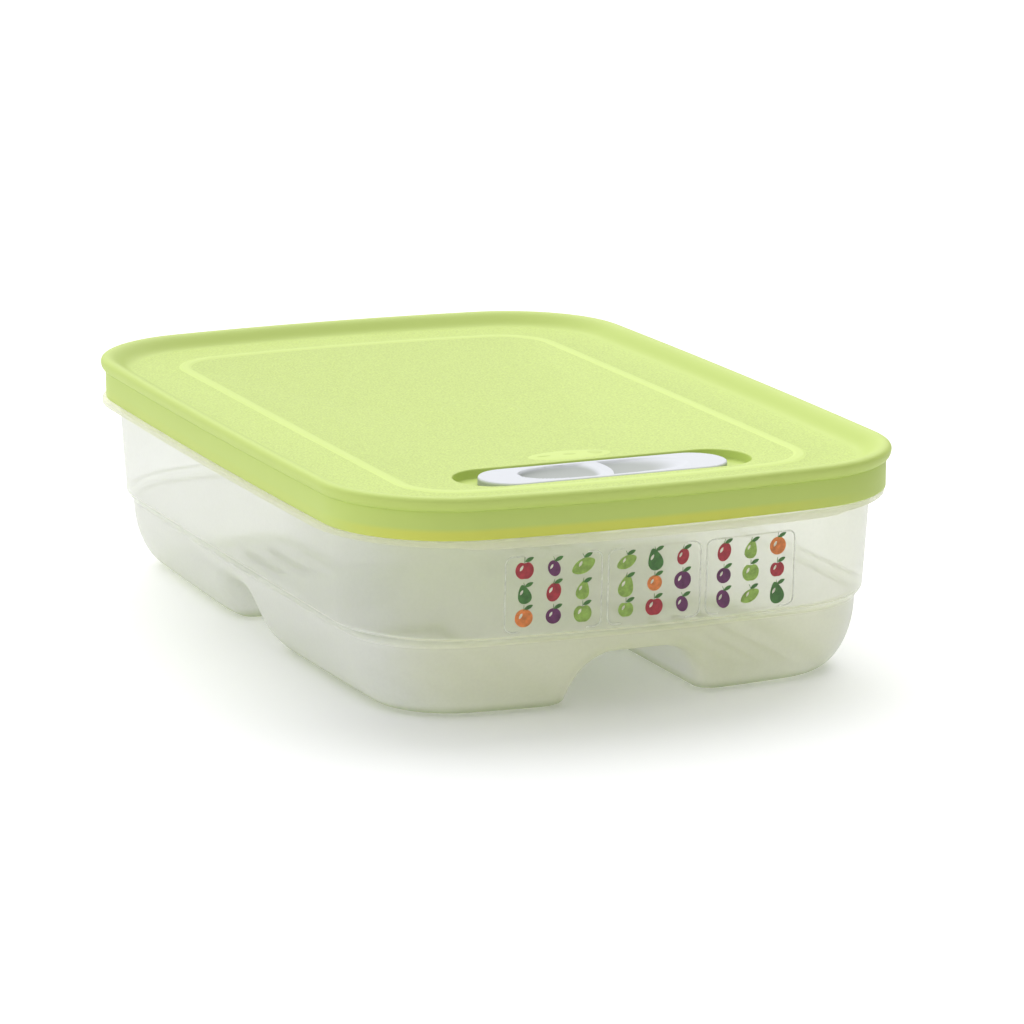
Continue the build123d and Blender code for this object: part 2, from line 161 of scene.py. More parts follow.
# %% One quarter of every outline
def quarter(half_x, half_y, side_bow, end_bow, corner, near_y, near_x, far, turn_steps):
    """Points from (half_x, 0) round the corner to (0, half_y), for all levels at once.
    An arc's radius is (bow² + chord²) / (2 bow). The corner circle touches both arcs inside,
    so its middle lies (arc radius - corner) from each arc's middle."""
    chord_x, chord_y = half_x - side_bow, half_y - end_bow
    side_radius = (side_bow ** 2 + chord_y ** 2) / (2 * side_bow)
    end_radius = (end_bow ** 2 + chord_x ** 2) / (2 * end_bow)
    side_mid, end_mid = half_x - side_radius, half_y - end_radius
    apart = np.hypot(side_mid, end_mid)
    a, b = side_radius - corner, end_radius - corner
    along = (a ** 2 - b ** 2 + apart ** 2) / (2 * apart)
    across = np.sqrt(a ** 2 - along ** 2)
    ux, uy = -side_mid / apart, end_mid / apart
    corner_x = side_mid + along * ux - across * uy
    corner_y = along * uy + across * ux
    first = np.arctan2(corner_y, corner_x - side_mid)
    last = np.arctan2(corner_y - end_mid, corner_x)
    side_end, end_start = side_radius * np.sin(first), end_radius * np.cos(last)
    y = np.concatenate([near_y + 0 * side_end, near_y[-1] + far * (side_end - near_y[-1])], axis=1)
    side = np.stack([side_mid + np.sqrt(side_radius ** 2 - y ** 2), y], axis=-1)
    angle = first + (last - first) * np.linspace(0, 1, turn_steps + 1)[1:-1]
    turn = np.stack([corner_x + corner * np.cos(angle), corner_y + corner * np.sin(angle)], axis=-1)
    x = np.concatenate([near_x + 0 * end_start, near_x[-1] + far * (end_start - near_x[-1])], axis=1)
    end = np.stack([x, end_mid + np.sqrt(end_radius ** 2 - x ** 2)], axis=-1)
    return np.concatenate([side, turn, end[:, ::-1]], axis=1)


def rings(levels, near_y, near_x, far_steps=12, turn_steps=24):
    """The whole outline of each level, anticlockwise: (levels, points, 3). near_y and near_x
    are places along a side and an end that every level keeps, so details can line up."""
    half_x, half_y, side_bow, end_bow, front, back, z, dip = levels.T[:, :, None]
    far = np.linspace(0, 1, far_steps + 1)[1:]
    shared = (near_y, near_x, far, turn_steps)
    rear = quarter(half_x, half_y, side_bow, end_bow, back, *shared)
    fore = quarter(half_x, half_y, side_bow, end_bow, front, *shared)
    loop = np.concatenate([rear[:, :-1], (rear * [-1, 1])[:, :0:-1],
                           (fore * [-1, -1])[:, :-1], (fore * [1, -1])[:, :0:-1]], axis=1)
    at_end = np.clip((END_LIP_X - np.abs(loop[..., 0])) / END_LIP_FADE + 0.5, 0, 1)
    return np.dstack([loop, z - dip * at_end])


LID_NEAR_Y, LID_NEAR_X = np.linspace(0, 24, 4), np.linspace(0, 20, 4)
print("Points in a plain outline:", rings(lid_rows(0.0, 0.0), LID_NEAR_Y, LID_NEAR_X).shape)

# %% [markdown]
# ## From points to a mesh
# A surface is a list of blocks, each a grid of points with its faces. Neighbouring blocks
# repeat the points they share, and a weld joins equal points, so the whole skin closes. The
# enclosed volume is printed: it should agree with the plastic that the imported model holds.

# %% Faces between rows of points
def band(grid, closed=True):
    """Four-sided faces between the rows of a (rows, columns, 3) grid of points."""
    count, width = grid.shape[:2]
    index = np.arange(count * width).reshape(count, width)
    if closed:
        index = np.concatenate([index, index[:, :1]], axis=1)
    faces = np.stack([index[:-1, :-1], index[:-1, 1:], index[1:, 1:], index[1:, :-1]], axis=-1)
    return grid.reshape(-1, 3), faces.reshape(-1, 4)


# %% Triangles between two flat loops
def zipper(outer, inner, middle):
    """Joins two loops that both go round `middle` anticlockwise. All corners are sorted by
    angle, and each one in turn closes a triangle with the last corner of the other loop."""
    def by_angle(loop):
        angle = np.arctan2(loop[:, 1] - middle[1], loop[:, 0] - middle[0]) % (2 * np.pi)
        order = np.argsort(angle)
        return loop[order], angle[order]
    outer, outer_angle = by_angle(outer)
    inner, inner_angle = by_angle(inner)
    is_outer = np.concatenate([np.ones(len(outer), bool), np.zeros(len(inner), bool)])
    is_outer = is_outer[np.argsort(np.concatenate([outer_angle, inner_angle]), kind="stable")]
    a = (np.cumsum(is_outer) - 1) % len(outer)
    b = (np.cumsum(~is_outer) - 1) % len(inner) + len(outer)
    a_back = (a - 1) % len(outer)
    b_back = (b - len(outer) - 1) % len(inner) + len(outer)
    outward = np.stack([a_back, a, b, b], axis=1)
    inward = np.stack([b, b_back, a, a], axis=1)
    return np.concatenate([outer, inner]), np.where(is_outer[:, None], outward, inward)


# %% Weld the blocks into one piece
def piece(name, blocks, body, materials, sharp=32.0, tints=None):
    """One object from blocks of points and faces, given in millimetres. Equal points become
    one, faces that a weld has folded lose their repeated corner, and normals point outwards."""
    starts = np.cumsum([0] + [len(points) for points, _ in blocks])
    points = np.concatenate([points for points, _ in blocks])
    faces = np.concatenate([f + start for (_, f), start in zip(blocks, starts)])
    finish = np.concatenate([np.full(len(f), tints[i] if tints else 0)
                             for i, (_, f) in enumerate(blocks)])
    _, first, same = np.unique(np.round(points, 4), axis=0, return_index=True, return_inverse=True)
    points, faces = points[first], same.reshape(-1)[faces]
    repeats = faces == np.roll(faces, -1, axis=1)
    whole = repeats.sum(axis=1) == 0
    polygons, finishes = faces[whole].tolist(), [finish[whole]]
    for column in range(4):
        folded = repeats[:, column] & (repeats.sum(axis=1) == 1)
        polygons += np.delete(faces[folded], column, axis=1).tolist()
        finishes.append(finish[folded])
    mesh = bpy.data.meshes.new(name)
    mesh.from_pydata((points * MM).tolist(), [], polygons)
    mesh.polygons.foreach_set("material_index", np.concatenate(finishes).astype(np.int32))
    shell = bmesh.new()
    shell.from_mesh(mesh)
    bmesh.ops.recalc_face_normals(shell, faces=shell.faces)
    volume = shell.calc_volume(signed=True)
    if volume < 0:
        bmesh.ops.reverse_faces(shell, faces=shell.faces)
    open_edges = sum(1 for edge in shell.edges if not edge.is_manifold)
    shell.to_mesh(mesh)
    shell.free()
    mesh.shade_smooth()
    mesh.set_sharp_from_angle(angle=np.radians(sharp))
    obj = bpy.data.objects.new(name, mesh)
    bpy.context.collection.objects.link(obj)
    for material in materials:
        mesh.materials.append(material)
    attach(obj, body)
    print(f"{name}: {len(mesh.polygons)} faces, {abs(volume) * 1e6:.1f} cm3, {open_edges} open edges")
    return obj


# %% [markdown]
# ## Shared effects
# Moulded plastic is never quite even: it has a fine grain from the mould's surface, and
# faint clouds where the melt flowed. Both effects are used by every piece at its own
# strength, so each is a node group that gives out only a height or a mask. Node trees could
# be wired one link at a time; here a node is given the outputs that feed it as it is added,
# so a material reads from its causes to its shader.

# %% Helpers for shader nodes
def adder(tree):
    """The function that adds nodes to one tree."""
    def add(kind, values=None, **settings):
        """One node. `settings` are its own properties; `values` are its inputs, by name or
        number, each a plain value or the output that feeds it."""
        node = tree.nodes.new(kind)
        for key, value in settings.items():
            setattr(node, key, value)
        for key, value in (values or {}).items():
            if isinstance(value, bpy.types.NodeSocket):
                tree.links.new(value, node.inputs[key])
            else:
                node.inputs[key].default_value = value
        return node
    return add


def calc(add, operation, *values):
    """One sum on numbers and outputs."""
    return add("ShaderNodeMath", dict(enumerate(values)), operation=operation).outputs[0]


def ramp(add, value, start, end, low=0.0, high=1.0, kind="SMOOTHSTEP"):
    """Goes from low to high while the value goes from start to end."""
    ends = {"Value": value, "From Min": start, "From Max": end, "To Min": low, "To Max": high}
    return add("ShaderNodeMapRange", ends, interpolation_type=kind).outputs["Result"]


def blend(add, share, first, second, kind="RGBA"):
    """A colour, or with kind FLOAT a number, between two others."""
    ends = {"Factor": share, "A": first, "B": second}
    return add("ShaderNodeMix", ends, data_type=kind).outputs["Result"]


def mix_shaders(add, share, first, second):
    """Two shaders' outputs, mixed."""
    return add("ShaderNodeMixShader", {"Fac": share, 1: first, 2: second}).outputs["Shader"]


def places(add, kind="Object"):
    """The x, y and z of a point, or of a direction in the world."""
    place = add("ShaderNodeTexCoord").outputs[kind]
    return add("ShaderNodeSeparateXYZ", {"Vector": place}).outputs


# %% Helpers for node groups
def node_group(name, inputs, result):
    """An empty shader group with number inputs and one number as its result. Gives the
    group, its adder and the outputs that stand for its inputs."""
    tree = bpy.data.node_groups.new(name, "ShaderNodeTree")
    for label, value in inputs.items():
        socket = tree.interface.new_socket(label, in_out="INPUT", socket_type="NodeSocketFloat")
        socket.default_value = value
    tree.interface.new_socket(result, in_out="OUTPUT", socket_type="NodeSocketFloat")
    return tree, adder(tree), tree.nodes.new("NodeGroupInput").outputs


def noise(add, size, detail, roughness):
    """Noise over the object, in grains of about `size` metres."""
    place = add("ShaderNodeTexCoord").outputs["Object"]
    values = {"Vector": place, "Scale": calc(add, "DIVIDE", 1.0, size), "Detail": detail,
              "Roughness": roughness}
    return add("ShaderNodeTexNoise", values).outputs["Fac"]


# %% Mould grain and melt clouds
grain_group, add, given = node_group("mould_grain", {"Size": 0.6 * MM}, "Height")
add("NodeGroupOutput", {"Height": noise(add, given["Size"], 2.0, 0.6)})

cloud_group, add, given = node_group("melt_clouds", {"Size": 50 * MM, "Contrast": 0.5}, "Mask")
cloud = calc(add, "SUBTRACT", noise(add, given["Size"], 3.0, 0.5), 0.5)
add("NodeGroupOutput", {"Mask": calc(add, "MULTIPLY_ADD", cloud, given["Contrast"], 0.5)})


# %% Helpers for materials
def new_material(name):
    """An empty node material and its adder."""
    material = bpy.data.materials.new(name)
    material.use_nodes = True
    material.node_tree.nodes.clear()
    return material, adder(material.node_tree)


def srgb(red, green, blue):
    """A linear colour from screen values of 0 to 255."""
    c = np.array([red, green, blue]) / 255
    linear = np.where(c <= 0.04045, c / 12.92, ((c + 0.055) / 1.055) ** 2.4)
    return (*linear.tolist(), 1.0)


WHITE = (1.0, 1.0, 1.0, 1.0)


def melt_clouds(add, size, contrast):
    """The clouds' mask, for blending two colours."""
    values = {"Size": size, "Contrast": contrast}
    return add("ShaderNodeGroup", values, node_tree=cloud_group).outputs["Mask"]


def grained(add, size, depth):
    """The mould grain's height, and the normal that it gives a surface."""
    grain = add("ShaderNodeGroup", {"Size": size}, node_tree=grain_group).outputs["Height"]
    bump = add("ShaderNodeBump", {"Strength": 1.0, "Distance": depth, "Height": grain})
    return grain, bump.outputs["Normal"]


def speckled(add, colour, height, amount):
    """A colour that goes up and down with the grain by the share `amount`."""
    scale = ramp(add, height, 0.3, 0.7, 1 - amount, 1 + amount, "LINEAR")
    values = {"Vector": colour, "Scale": scale}
    return add("ShaderNodeVectorMath", values, operation="SCALE").outputs["Vector"]


# %% [markdown]
# ## Soft green lid plastic
# The lid is soft polyethylene. Its panel has a fine spark-eroded grain, while the rim, the
# cove and the raised line are smoother. It could be one even green, but its colour drifts a
# little where the melt flowed. Low on the skirt at the vent end the green is painted warmer:
# painted light, as if light shone through the thin edge of the skirt. The raised line is
# painted a lighter green, a painted sheen for its glossier face.
# Some light also comes through it, so its shadow on the container is only half dark.

# %% Lid materials
# Where the skirt's painted light lies, in mm: its heights, its reach from the vent end and its fade
# across.
WARM_TOP, WARM_FULL = 64.5, 62.5
WARM_FROM_Y, WARM_FULL_Y, WARM_AT_BACK = -100.0, -138.0, 0.12
WARM_FROM_X, WARM_NONE_X = 15.0, 85.0
LID_GRAIN, LID_CLOUDS, LID_DRIFT, LID_LETS_THROUGH = 0.7, 60.0, 0.035, 0.54
# The raised line's green is a lighter copy of the lid's green: a painted sheen for its glossier face.
LID_GREEN, LID_LINE_GREEN_PAINTED_SHEEN = srgb(197, 216, 116), srgb(208, 227, 127)
LID_WARM_PAINTED_LIGHT = srgb(213, 218, 96)


def lid_plastic(name, colour, grain_depth, speckle=0.0):
    """Green plastic whose colour follows melt clouds, with painted light: warmer low on the skirt at the
    vent end, as if light shone through the thin skirt.
    """
    material, add = new_material(name)
    x, y, z = places(add)
    pale, deep = (tuple(min(1, share * c) for c in colour[:3]) + (1,)
                  for share in (1 + LID_DRIFT, 1 - LID_DRIFT))
    green = blend(add, melt_clouds(add, LID_CLOUDS * MM, 0.5), deep, pale)
    # Painted light: low on the skirt at the vent end, fading towards the right side, the green turns
    # warmer, as if light shone through the thin skirt.
    low = ramp(add, z, WARM_TOP * MM, WARM_FULL * MM)
    end = ramp(add, y, WARM_FROM_Y * MM, WARM_FULL_Y * MM, WARM_AT_BACK)
    side = ramp(add, x, WARM_FROM_X * MM, WARM_NONE_X * MM, 1.0, 0.0)
    painted_light_share = calc(add, "MULTIPLY", calc(add, "MULTIPLY", low, end), side)
    height, normal = grained(add, LID_GRAIN * MM, grain_depth)
    tint = speckled(add, blend(add, painted_light_share, green, LID_WARM_PAINTED_LIGHT), height, speckle)
    skin = add("ShaderNodeBsdfPrincipled", {"Base Color": tint, "Normal": normal, "IOR": 1.46,
                                            "Roughness": 0.5, "Specular IOR Level": 0.35})
    glow = add("ShaderNodeBsdfTransparent", {"Color": srgb(244, 248, 250)})
    shadow = add("ShaderNodeLightPath").outputs["Is Shadow Ray"]
    share = calc(add, "MULTIPLY", shadow, LID_LETS_THROUGH)
    mixed = mix_shaders(add, share, skin.outputs["BSDF"], glow.outputs["BSDF"])
    add("ShaderNodeOutputMaterial", {"Surface": mixed})
    return material


lid_panel_finish = lid_plastic("lid_grained_green", LID_GREEN, grain_depth=0.2 * MM, speckle=0.12)
lid_smooth_finish = lid_plastic("lid_smooth_green", LID_GREEN, grain_depth=0.01 * MM)
lid_line_painted_sheen_finish = lid_plastic("lid_line_green_painted_sheen", LID_LINE_GREEN_PAINTED_SHEEN, grain_depth=0.006 * MM)

# %% [markdown]
# ## Milky container plastic
# The container is unfilled polypropylene: light goes through it, but shapes behind it stay
# faint. Glass with a rough surface would be slow and noisy. A thin sheet is enough here:
# part of the light passes straight on, part is spread by the wall, and the rest comes back
# from a pale glossy surface. Seen at a glancing angle the wall is thicker and lets less
# through, and so do the two edges of the ledge. Light and shade are also painted into its
# colour: a green-yellow tint at the vent end and just under the lid is painted light from
# the green lid, and the turned-in edge of the feet is painted darker as contact shade.

# %% Container material
# Milk white, and the tints that paint light and shade into it.
MILK, MILK_PAINTED_LID_LIGHT_FRONT = srgb(251, 250, 251), srgb(251, 250, 231)
MILK_PAINTED_LID_LIGHT_HIGH, MILK_PAINTED_FOOT_SHADE = srgb(250, 250, 222), srgb(206, 213, 182)
LID_LIGHT_FROM_Y, LID_LIGHT_FULL_Y = -112.0, -134.0
LID_LIGHT_FROM_Z, LID_LIGHT_FULL_Z = 56.0, 59.5
FOOT_SHADE_TOP, FOOT_SHADE_FULL, FOOT_FACE = 4.2, 0.4, 0.2
THICK_FROM, THICK_FULL = 27.5, 23.5
LEDGE_LINE, LEDGE_LINE_CLEAR = 0.35, 0.3


def milky(name, upper, lower, grazing, through, through_low, rounded):
    """Milky sheet plastic. `upper` and `lower` are the clear shares over and under the ledge
    when seen straight on, `grazing` scales them at a glancing angle. `through` and
    `through_low` are the shares that let the lamps' and the room's light pass there.
    `rounded` is the share of painted shade that darkens the turned-in edge of the feet, as contact
    shade."""
    material, add = new_material(name)
    x, y, z = places(add)
    # Painted light: the wall at the vent end is tinted green-yellow, for light that comes through the
    # green lid.
    tint = blend(add, ramp(add, y, LID_LIGHT_FROM_Y * MM, LID_LIGHT_FULL_Y * MM), MILK, MILK_PAINTED_LID_LIGHT_FRONT)
    # Painted light: just under the lid the wall takes a yellower tint, for light that comes through the
    # green lid.
    painted_lid_light = ramp(add, z, LID_LIGHT_FROM_Z * MM, LID_LIGHT_FULL_Z * MM)
    tint = blend(add, painted_lid_light, tint, MILK_PAINTED_LID_LIGHT_HIGH)
    # Painted shade: the turned-in edge of the feet is darkened as contact shade, down to just above the
    # face it stands on.
    painted_foot_shade = ramp(add, z, FOOT_SHADE_TOP * MM, FOOT_SHADE_FULL * MM, 0.0, rounded)
    above = calc(add, "GREATER_THAN", z, FOOT_FACE * MM)
    tint = blend(add, calc(add, "MULTIPLY", painted_foot_shade, above), tint, MILK_PAINTED_FOOT_SHADE)
    height, normal = grained(add, 1.2 * MM, 0.01 * MM)
    skin = add("ShaderNodeBsdfPrincipled", {"Base Color": speckled(add, tint, height, 0.03),
                                            "Normal": normal, "Roughness": 0.3, "IOR": 1.49})
    spread = add("ShaderNodeBsdfTranslucent", {"Color": tint})
    milk = mix_shaders(add, 0.5, skin.outputs["BSDF"], spread.outputs["BSDF"])
    facing = add("ShaderNodeLayerWeight", {"Blend": 0.3}).outputs["Facing"]
    angled = ramp(add, facing, 0.0, 0.9, 1.0, grazing, "LINEAR")
    edges = [calc(add, "COMPARE", z, level * MM, LEDGE_LINE * MM)
             for level in (LEDGE_TOP_Z, LEDGE_LOW_Z)]
    lined = ramp(add, calc(add, "MAXIMUM", *edges), 0.0, 1.0, 1.0, LEDGE_LINE_CLEAR, "LINEAR")
    clear = ramp(add, z, THICK_FULL * MM, THICK_FROM * MM, lower, upper)
    clear = calc(add, "MULTIPLY", calc(add, "MULTIPLY", clear, angled), lined)
    passing = ramp(add, z, THICK_FULL * MM, THICK_FROM * MM, through_low, through)
    path = add("ShaderNodeLightPath").outputs
    light = calc(add, "MAXIMUM", path["Is Shadow Ray"], path["Is Diffuse Ray"])
    share = blend(add, light, clear, passing, "FLOAT")
    sheer = add("ShaderNodeBsdfTransparent", {"Color": WHITE})
    add("ShaderNodeOutputMaterial",
        {"Surface": mix_shaders(add, share, milk, sheer.outputs["BSDF"])})
    return material


container_finish = milky("milky_polypropylene", upper=0.6, lower=0.26, grazing=0.55,
                         through=0.7, through_low=0.32, rounded=1.0)
inner_finish = milky("milky_polypropylene_inside", upper=0.96, lower=0.75, grazing=0.96,
                     through=0.88, through_low=0.68, rounded=0.0)

# %% [markdown]
# ## Hard white vent plastic
# The slider and the shutter are a hard, slightly cool white plastic with a satin face. The
# finger hollow is painted a greyer white, deeper down: painted shade in the recess.

# %% Vent material
HOLLOW_SHADE_FROM, HOLLOW_SHADE_FULL, HOLLOW_SHADE_HALF = 0.2, 1.2, 9.8

vent_finish, add = new_material("satin_white_plastic")
x, y, z = places(add)
white = blend(add, melt_clouds(add, 20 * MM, 0.4), srgb(217, 219, 224), srgb(223, 225, 230))
# Painted shade: the finger hollow turns greyer as it sinks below the face, across the hollow's width.
deep = ramp(add, z, (SLIDER_TOP - HOLLOW_SHADE_FROM) * MM, (SLIDER_TOP - HOLLOW_SHADE_FULL) * MM)
in_hollow_shade = calc(add, "COMPARE", y, VENT_Y * MM, HOLLOW_SHADE_HALF * MM)
white = blend(add, calc(add, "MULTIPLY", deep, in_hollow_shade), white, srgb(177, 181, 177))
height, normal = grained(add, 0.8 * MM, 0.006 * MM)
skin = add("ShaderNodeBsdfPrincipled", {"Base Color": white, "Normal": normal, "Roughness": 0.5,
                                        "Specular IOR Level": 0.08})
add("ShaderNodeOutputMaterial", {"Surface": skin.outputs["BSDF"]})

# %% [markdown]
# ## Container
# The container is one moulding. Under the ledge it curves in to four feet, parted by two
# channels that let cold air pass. The bowl alone would be a stack of outlines; the channels
# are arches that lift every point they reach, so the four feet, the arch roofs and the humps
# inside come from one rule: the height is the higher of bowl and arch, rounded where they meet.

# %% Where the outlines keep their points
def arch_lines(flat):
    """Places across a channel, from its middle to its foot, close together on its curves."""
    turn = np.radians(np.linspace(0, 90, 12))
    heel = FOOT_ROUND * (1 - np.cos(np.radians([30, 60, 90])))
    lines = np.concatenate([np.linspace(0, flat, 4), flat + CHANNEL_RADIUS * np.sin(turn),
                            flat + (CHANNEL_RADIUS + WALL) * np.sin(turn[-6:]),
                            flat + CHANNEL_RADIUS + heel])
    lines = np.sort(lines)
    return lines[np.concatenate([[True], np.diff(lines) > 0.12])]


NEAR_Y, NEAR_X = arch_lines(CROSS_FLAT), arch_lines(LONG_FLAT)
FAR_STEPS, TURN_STEPS = 10, 24
print("Kept places:", len(NEAR_Y), len(NEAR_X))


# %% Height of the channels
def arch_height(across, flat, grow):
    """Roof height at a distance across a channel: flat, a quarter circle down to the spring
    line, and a small reverse curve into the foot. The inner skin's arch is wider by `grow`."""
    radius, spring, heel = CHANNEL_RADIUS + grow, CHANNEL_TOP - CHANNEL_RADIUS, FOOT_ROUND - grow
    across = np.abs(across)
    roof = spring + np.sqrt(np.maximum(radius ** 2 - np.maximum(across - flat, 0) ** 2, 0))
    past = np.clip(flat + radius + heel - across, 0, heel)
    toe = spring - np.sqrt(np.maximum(heel ** 2 - past ** 2, 0))
    return np.where(across <= flat + radius, roof, np.where(past > 0, toe, spring - heel))


def soft_max(a, b, blend):
    """The higher of two heights, with a fillet of about `blend` where they cross."""
    near = np.maximum(blend - np.abs(a - b), 0)
    return np.maximum(a, b) + near ** 2 / (4 * np.maximum(blend, 1e-6))


def mouth_setback(across, z, flat):
    """How far the wall draws back beside a channel's mouth: round the arch's outline runs a
    fillet of radius R, so at distance d from it the wall lies R - √(R² - (R-d)²) back."""
    spring = CHANNEL_TOP - CHANNEL_RADIUS
    side = np.abs(across) - flat
    over = np.hypot(np.maximum(side, 0), z - spring) - CHANNEL_RADIUS
    heel = FOOT_ROUND - np.sqrt(np.maximum(FOOT_ROUND ** 2 - (spring - np.clip(z, 0, spring)) ** 2, 0))
    away = np.where(z > spring, over, side - CHANNEL_RADIUS - heel)
    near = np.clip(MOUTH_ROUND - away, 0, MOUTH_ROUND)
    return MOUTH_ROUND - np.sqrt(MOUTH_ROUND ** 2 - near ** 2)


def with_channels(points, grow):
    """Rounds the channels' mouths, then lifts points to the two arches, which merge with
    each other and with the bowl."""
    x, y, z = points[..., 0], points[..., 1], points[..., 2]
    outward_x = np.clip((np.abs(x) - MOUTH_FROM_X) / MOUTH_FADE_X, 0, 1)
    outward_y = np.clip((np.abs(y) - MOUTH_FROM_Y) / MOUTH_FADE_Y, 0, 1)
    back_x = mouth_setback(y, z, CROSS_FLAT) * outward_x
    back_y = mouth_setback(x, z, LONG_FLAT) * outward_y
    x, y = x - np.sign(x) * back_x, y - np.sign(y) * back_y
    long, cross = arch_height(x, LONG_FLAT, grow), arch_height(y, CROSS_FLAT, grow)
    rounding = np.clip(np.minimum(long, cross) - ARCH_LOW, 0, CROSSING_ROUND)
    arches = soft_max(long, cross, rounding)
    z = soft_max(z, arches, np.clip(0.4 * (arches - ARCH_LOW), 0, BOWL_ROUND))
    return np.stack([x, y, z], axis=-1)


# %% Floor in the middle of each skin
FLOOR_X, FLOOR_Y = 52.0, 96.0
FAR_LINES = FAR_STEPS + TURN_STEPS // 2 + 1
FLOOR_LINES_Y = np.concatenate([NEAR_Y, np.linspace(NEAR_Y[-1], FLOOR_Y, FAR_LINES)[1:]])
FLOOR_LINES_X = np.concatenate([NEAR_X, np.linspace(NEAR_X[-1], FLOOR_X, FAR_LINES)[1:]])


def floor_blocks(foot_ring, z, grow):
    """A square grid inside, and bands that spread from its edge to the foot's outline."""
    x = np.concatenate([-FLOOR_LINES_X[:0:-1], FLOOR_LINES_X])
    y = np.concatenate([-FLOOR_LINES_Y[:0:-1], FLOOR_LINES_Y])
    grid = np.stack([*np.meshgrid(x, y, indexing="ij"), np.full((len(x), len(y)), z)], axis=-1)
    side = np.stack([np.full(len(FLOOR_LINES_Y), FLOOR_X), FLOOR_LINES_Y], axis=-1)
    end = np.stack([FLOOR_LINES_X[-2::-1], np.full(len(FLOOR_LINES_X) - 1, FLOOR_Y)], axis=-1)
    part = np.concatenate([side, end])
    edge = np.concatenate([part[:-1], (part * [-1, 1])[:0:-1], (part * [-1, -1])[:-1],
                           (part * [1, -1])[:0:-1]])
    edge = np.column_stack([edge, np.full(len(edge), z)])
    share = np.linspace(0, 1, 8)[:, None, None]
    spread = edge + (foot_ring - edge) * share
    return [band(with_channels(grid, grow), closed=False), band(with_channels(spread, grow))]


# %% Outer skin, from the feet up
bowl_turn = np.radians(np.linspace(90, 0, 37))
bead_z = RIM_TOP - SNAP_BEAD_DROP - SNAP_BEAD_HALF
SOFT_RADIUS, SOFT_STEPS = 0.6, 4
CORNERS_TO_RIM_TOP = 13
section = np.concatenate([
    bowl_rows(bowl_turn[-2:], 0),
    wall_rows(LEDGE_IN_X, LEDGE_IN_Y, 0, LEDGE_TOP_Z),
    wall_rows(WALL_TOP_IN, WALL_TOP_IN, 0, FLANGE_UNDER),
    flange_rows(LIP_WALL, FLANGE_UNDER, 0.0),
    flange_rows(LIP_WALL, LIP_LOW, LIP_LOW - END_LIP_LOW),
    flange_rows(0, LIP_LOW, LIP_LOW - END_LIP_LOW),
    flange_rows(0, FLANGE_TOP, 0.0),
    lid_rows(RIM_OUTER_IN, FLANGE_TOP),
    lid_rows(RIM_OUTER_IN - SNAP_BEAD * np.array([0, 1, 0]),
             bead_z + SNAP_BEAD_HALF * np.array([-1, 0, 1])),
    lid_rows([RIM_OUTER_IN, RIM_INNER_IN, RIM_INNER_IN], [RIM_TOP, RIM_TOP, FLANGE_TOP]),
    wall_rows(WALL_TOP_IN, WALL_TOP_IN, WALL, FLANGE_TOP),
    wall_rows(LEDGE_IN_X, LEDGE_IN_Y, WALL, LEDGE_TOP_Z),
    bowl_rows(bowl_turn[:-3:-1], WALL)])
section = soften(section, SOFT_RADIUS, SOFT_STEPS)
top_row = 1 + CORNERS_TO_RIM_TOP * (SOFT_STEPS + 1)
outer = np.concatenate([bowl_rows(bowl_turn[:-2], 0), section[:top_row]])
inner = np.concatenate([section[top_row - 1:], bowl_rows(bowl_turn[-3::-1], WALL)])
kept = (NEAR_Y, NEAR_X, FAR_STEPS, TURN_STEPS)
outer_rings, inner_rings = rings(outer, *kept), rings(inner, *kept)
print("Levels outside and inside:", len(outer), len(inner))

# %% Container in one skin
container = piece(
    "keeper_container",
    [band(with_channels(outer_rings, 0)), band(with_channels(inner_rings, WALL)),
     *floor_blocks(outer_rings[0], 0.0, 0), *floor_blocks(inner_rings[-1], WALL, WALL)],
    "container", [container_finish, inner_finish],
    tints=[0, 1, 0, 0, 1, 1])
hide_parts("container")

# %% [markdown]
# ## Ribs on the floor
# Low ribs on the floor of each foot keep the produce off the wet. Each is a bar with a
# rounded top; all sixteen are made at once by adding sixteen places to one bar's points.

# %% Floor ribs
turn = np.radians(np.linspace(180, 0, 9))
across = np.concatenate([RIB_WIDTH / 2 * np.cos(turn), [RIB_WIDTH / 2, -RIB_WIDTH / 2]])
up = np.concatenate([RIB_HEIGHT * np.sin(turn), [-RIB_SINK, -RIB_SINK]])
stations = np.array([-0.5, -0.5, -0.49, 0.49, 0.5, 0.5])[:, None] * RIB_LENGTH
scale = np.array([0.0, 0.7, 1, 1, 0.7, 0.0])[:, None]
bar = np.stack([across * scale, stations + 0 * across, WALL + up * scale], axis=-1)
rib_x = (LONG_FLAT + CHANNEL_RADIUS + WALL + FOOT_X) / 2 + (np.arange(4) - 1.5) * RIB_PITCH
rib_y = (CROSS_FLAT + CHANNEL_RADIUS + WALL + FOOT_Y) / 2
ribs = [band(bar + [side * x, end * rib_y, 0]) for side in (-1, 1) for end in (-1, 1) for x in rib_x]
piece("container_floor_ribs", ribs, "container", [container_finish])

# %% [markdown]
# ## Print on the front wall
# A small printed guide sits at the vent end: three equal frames, each with three rows of
# three simple fruits. An image texture would be quick, but flat shapes stay sharp at any
# size. Each shape is a closed outline filled by rings, so that it bends with the wall, and
# its points get their depth from the wall's own outline.

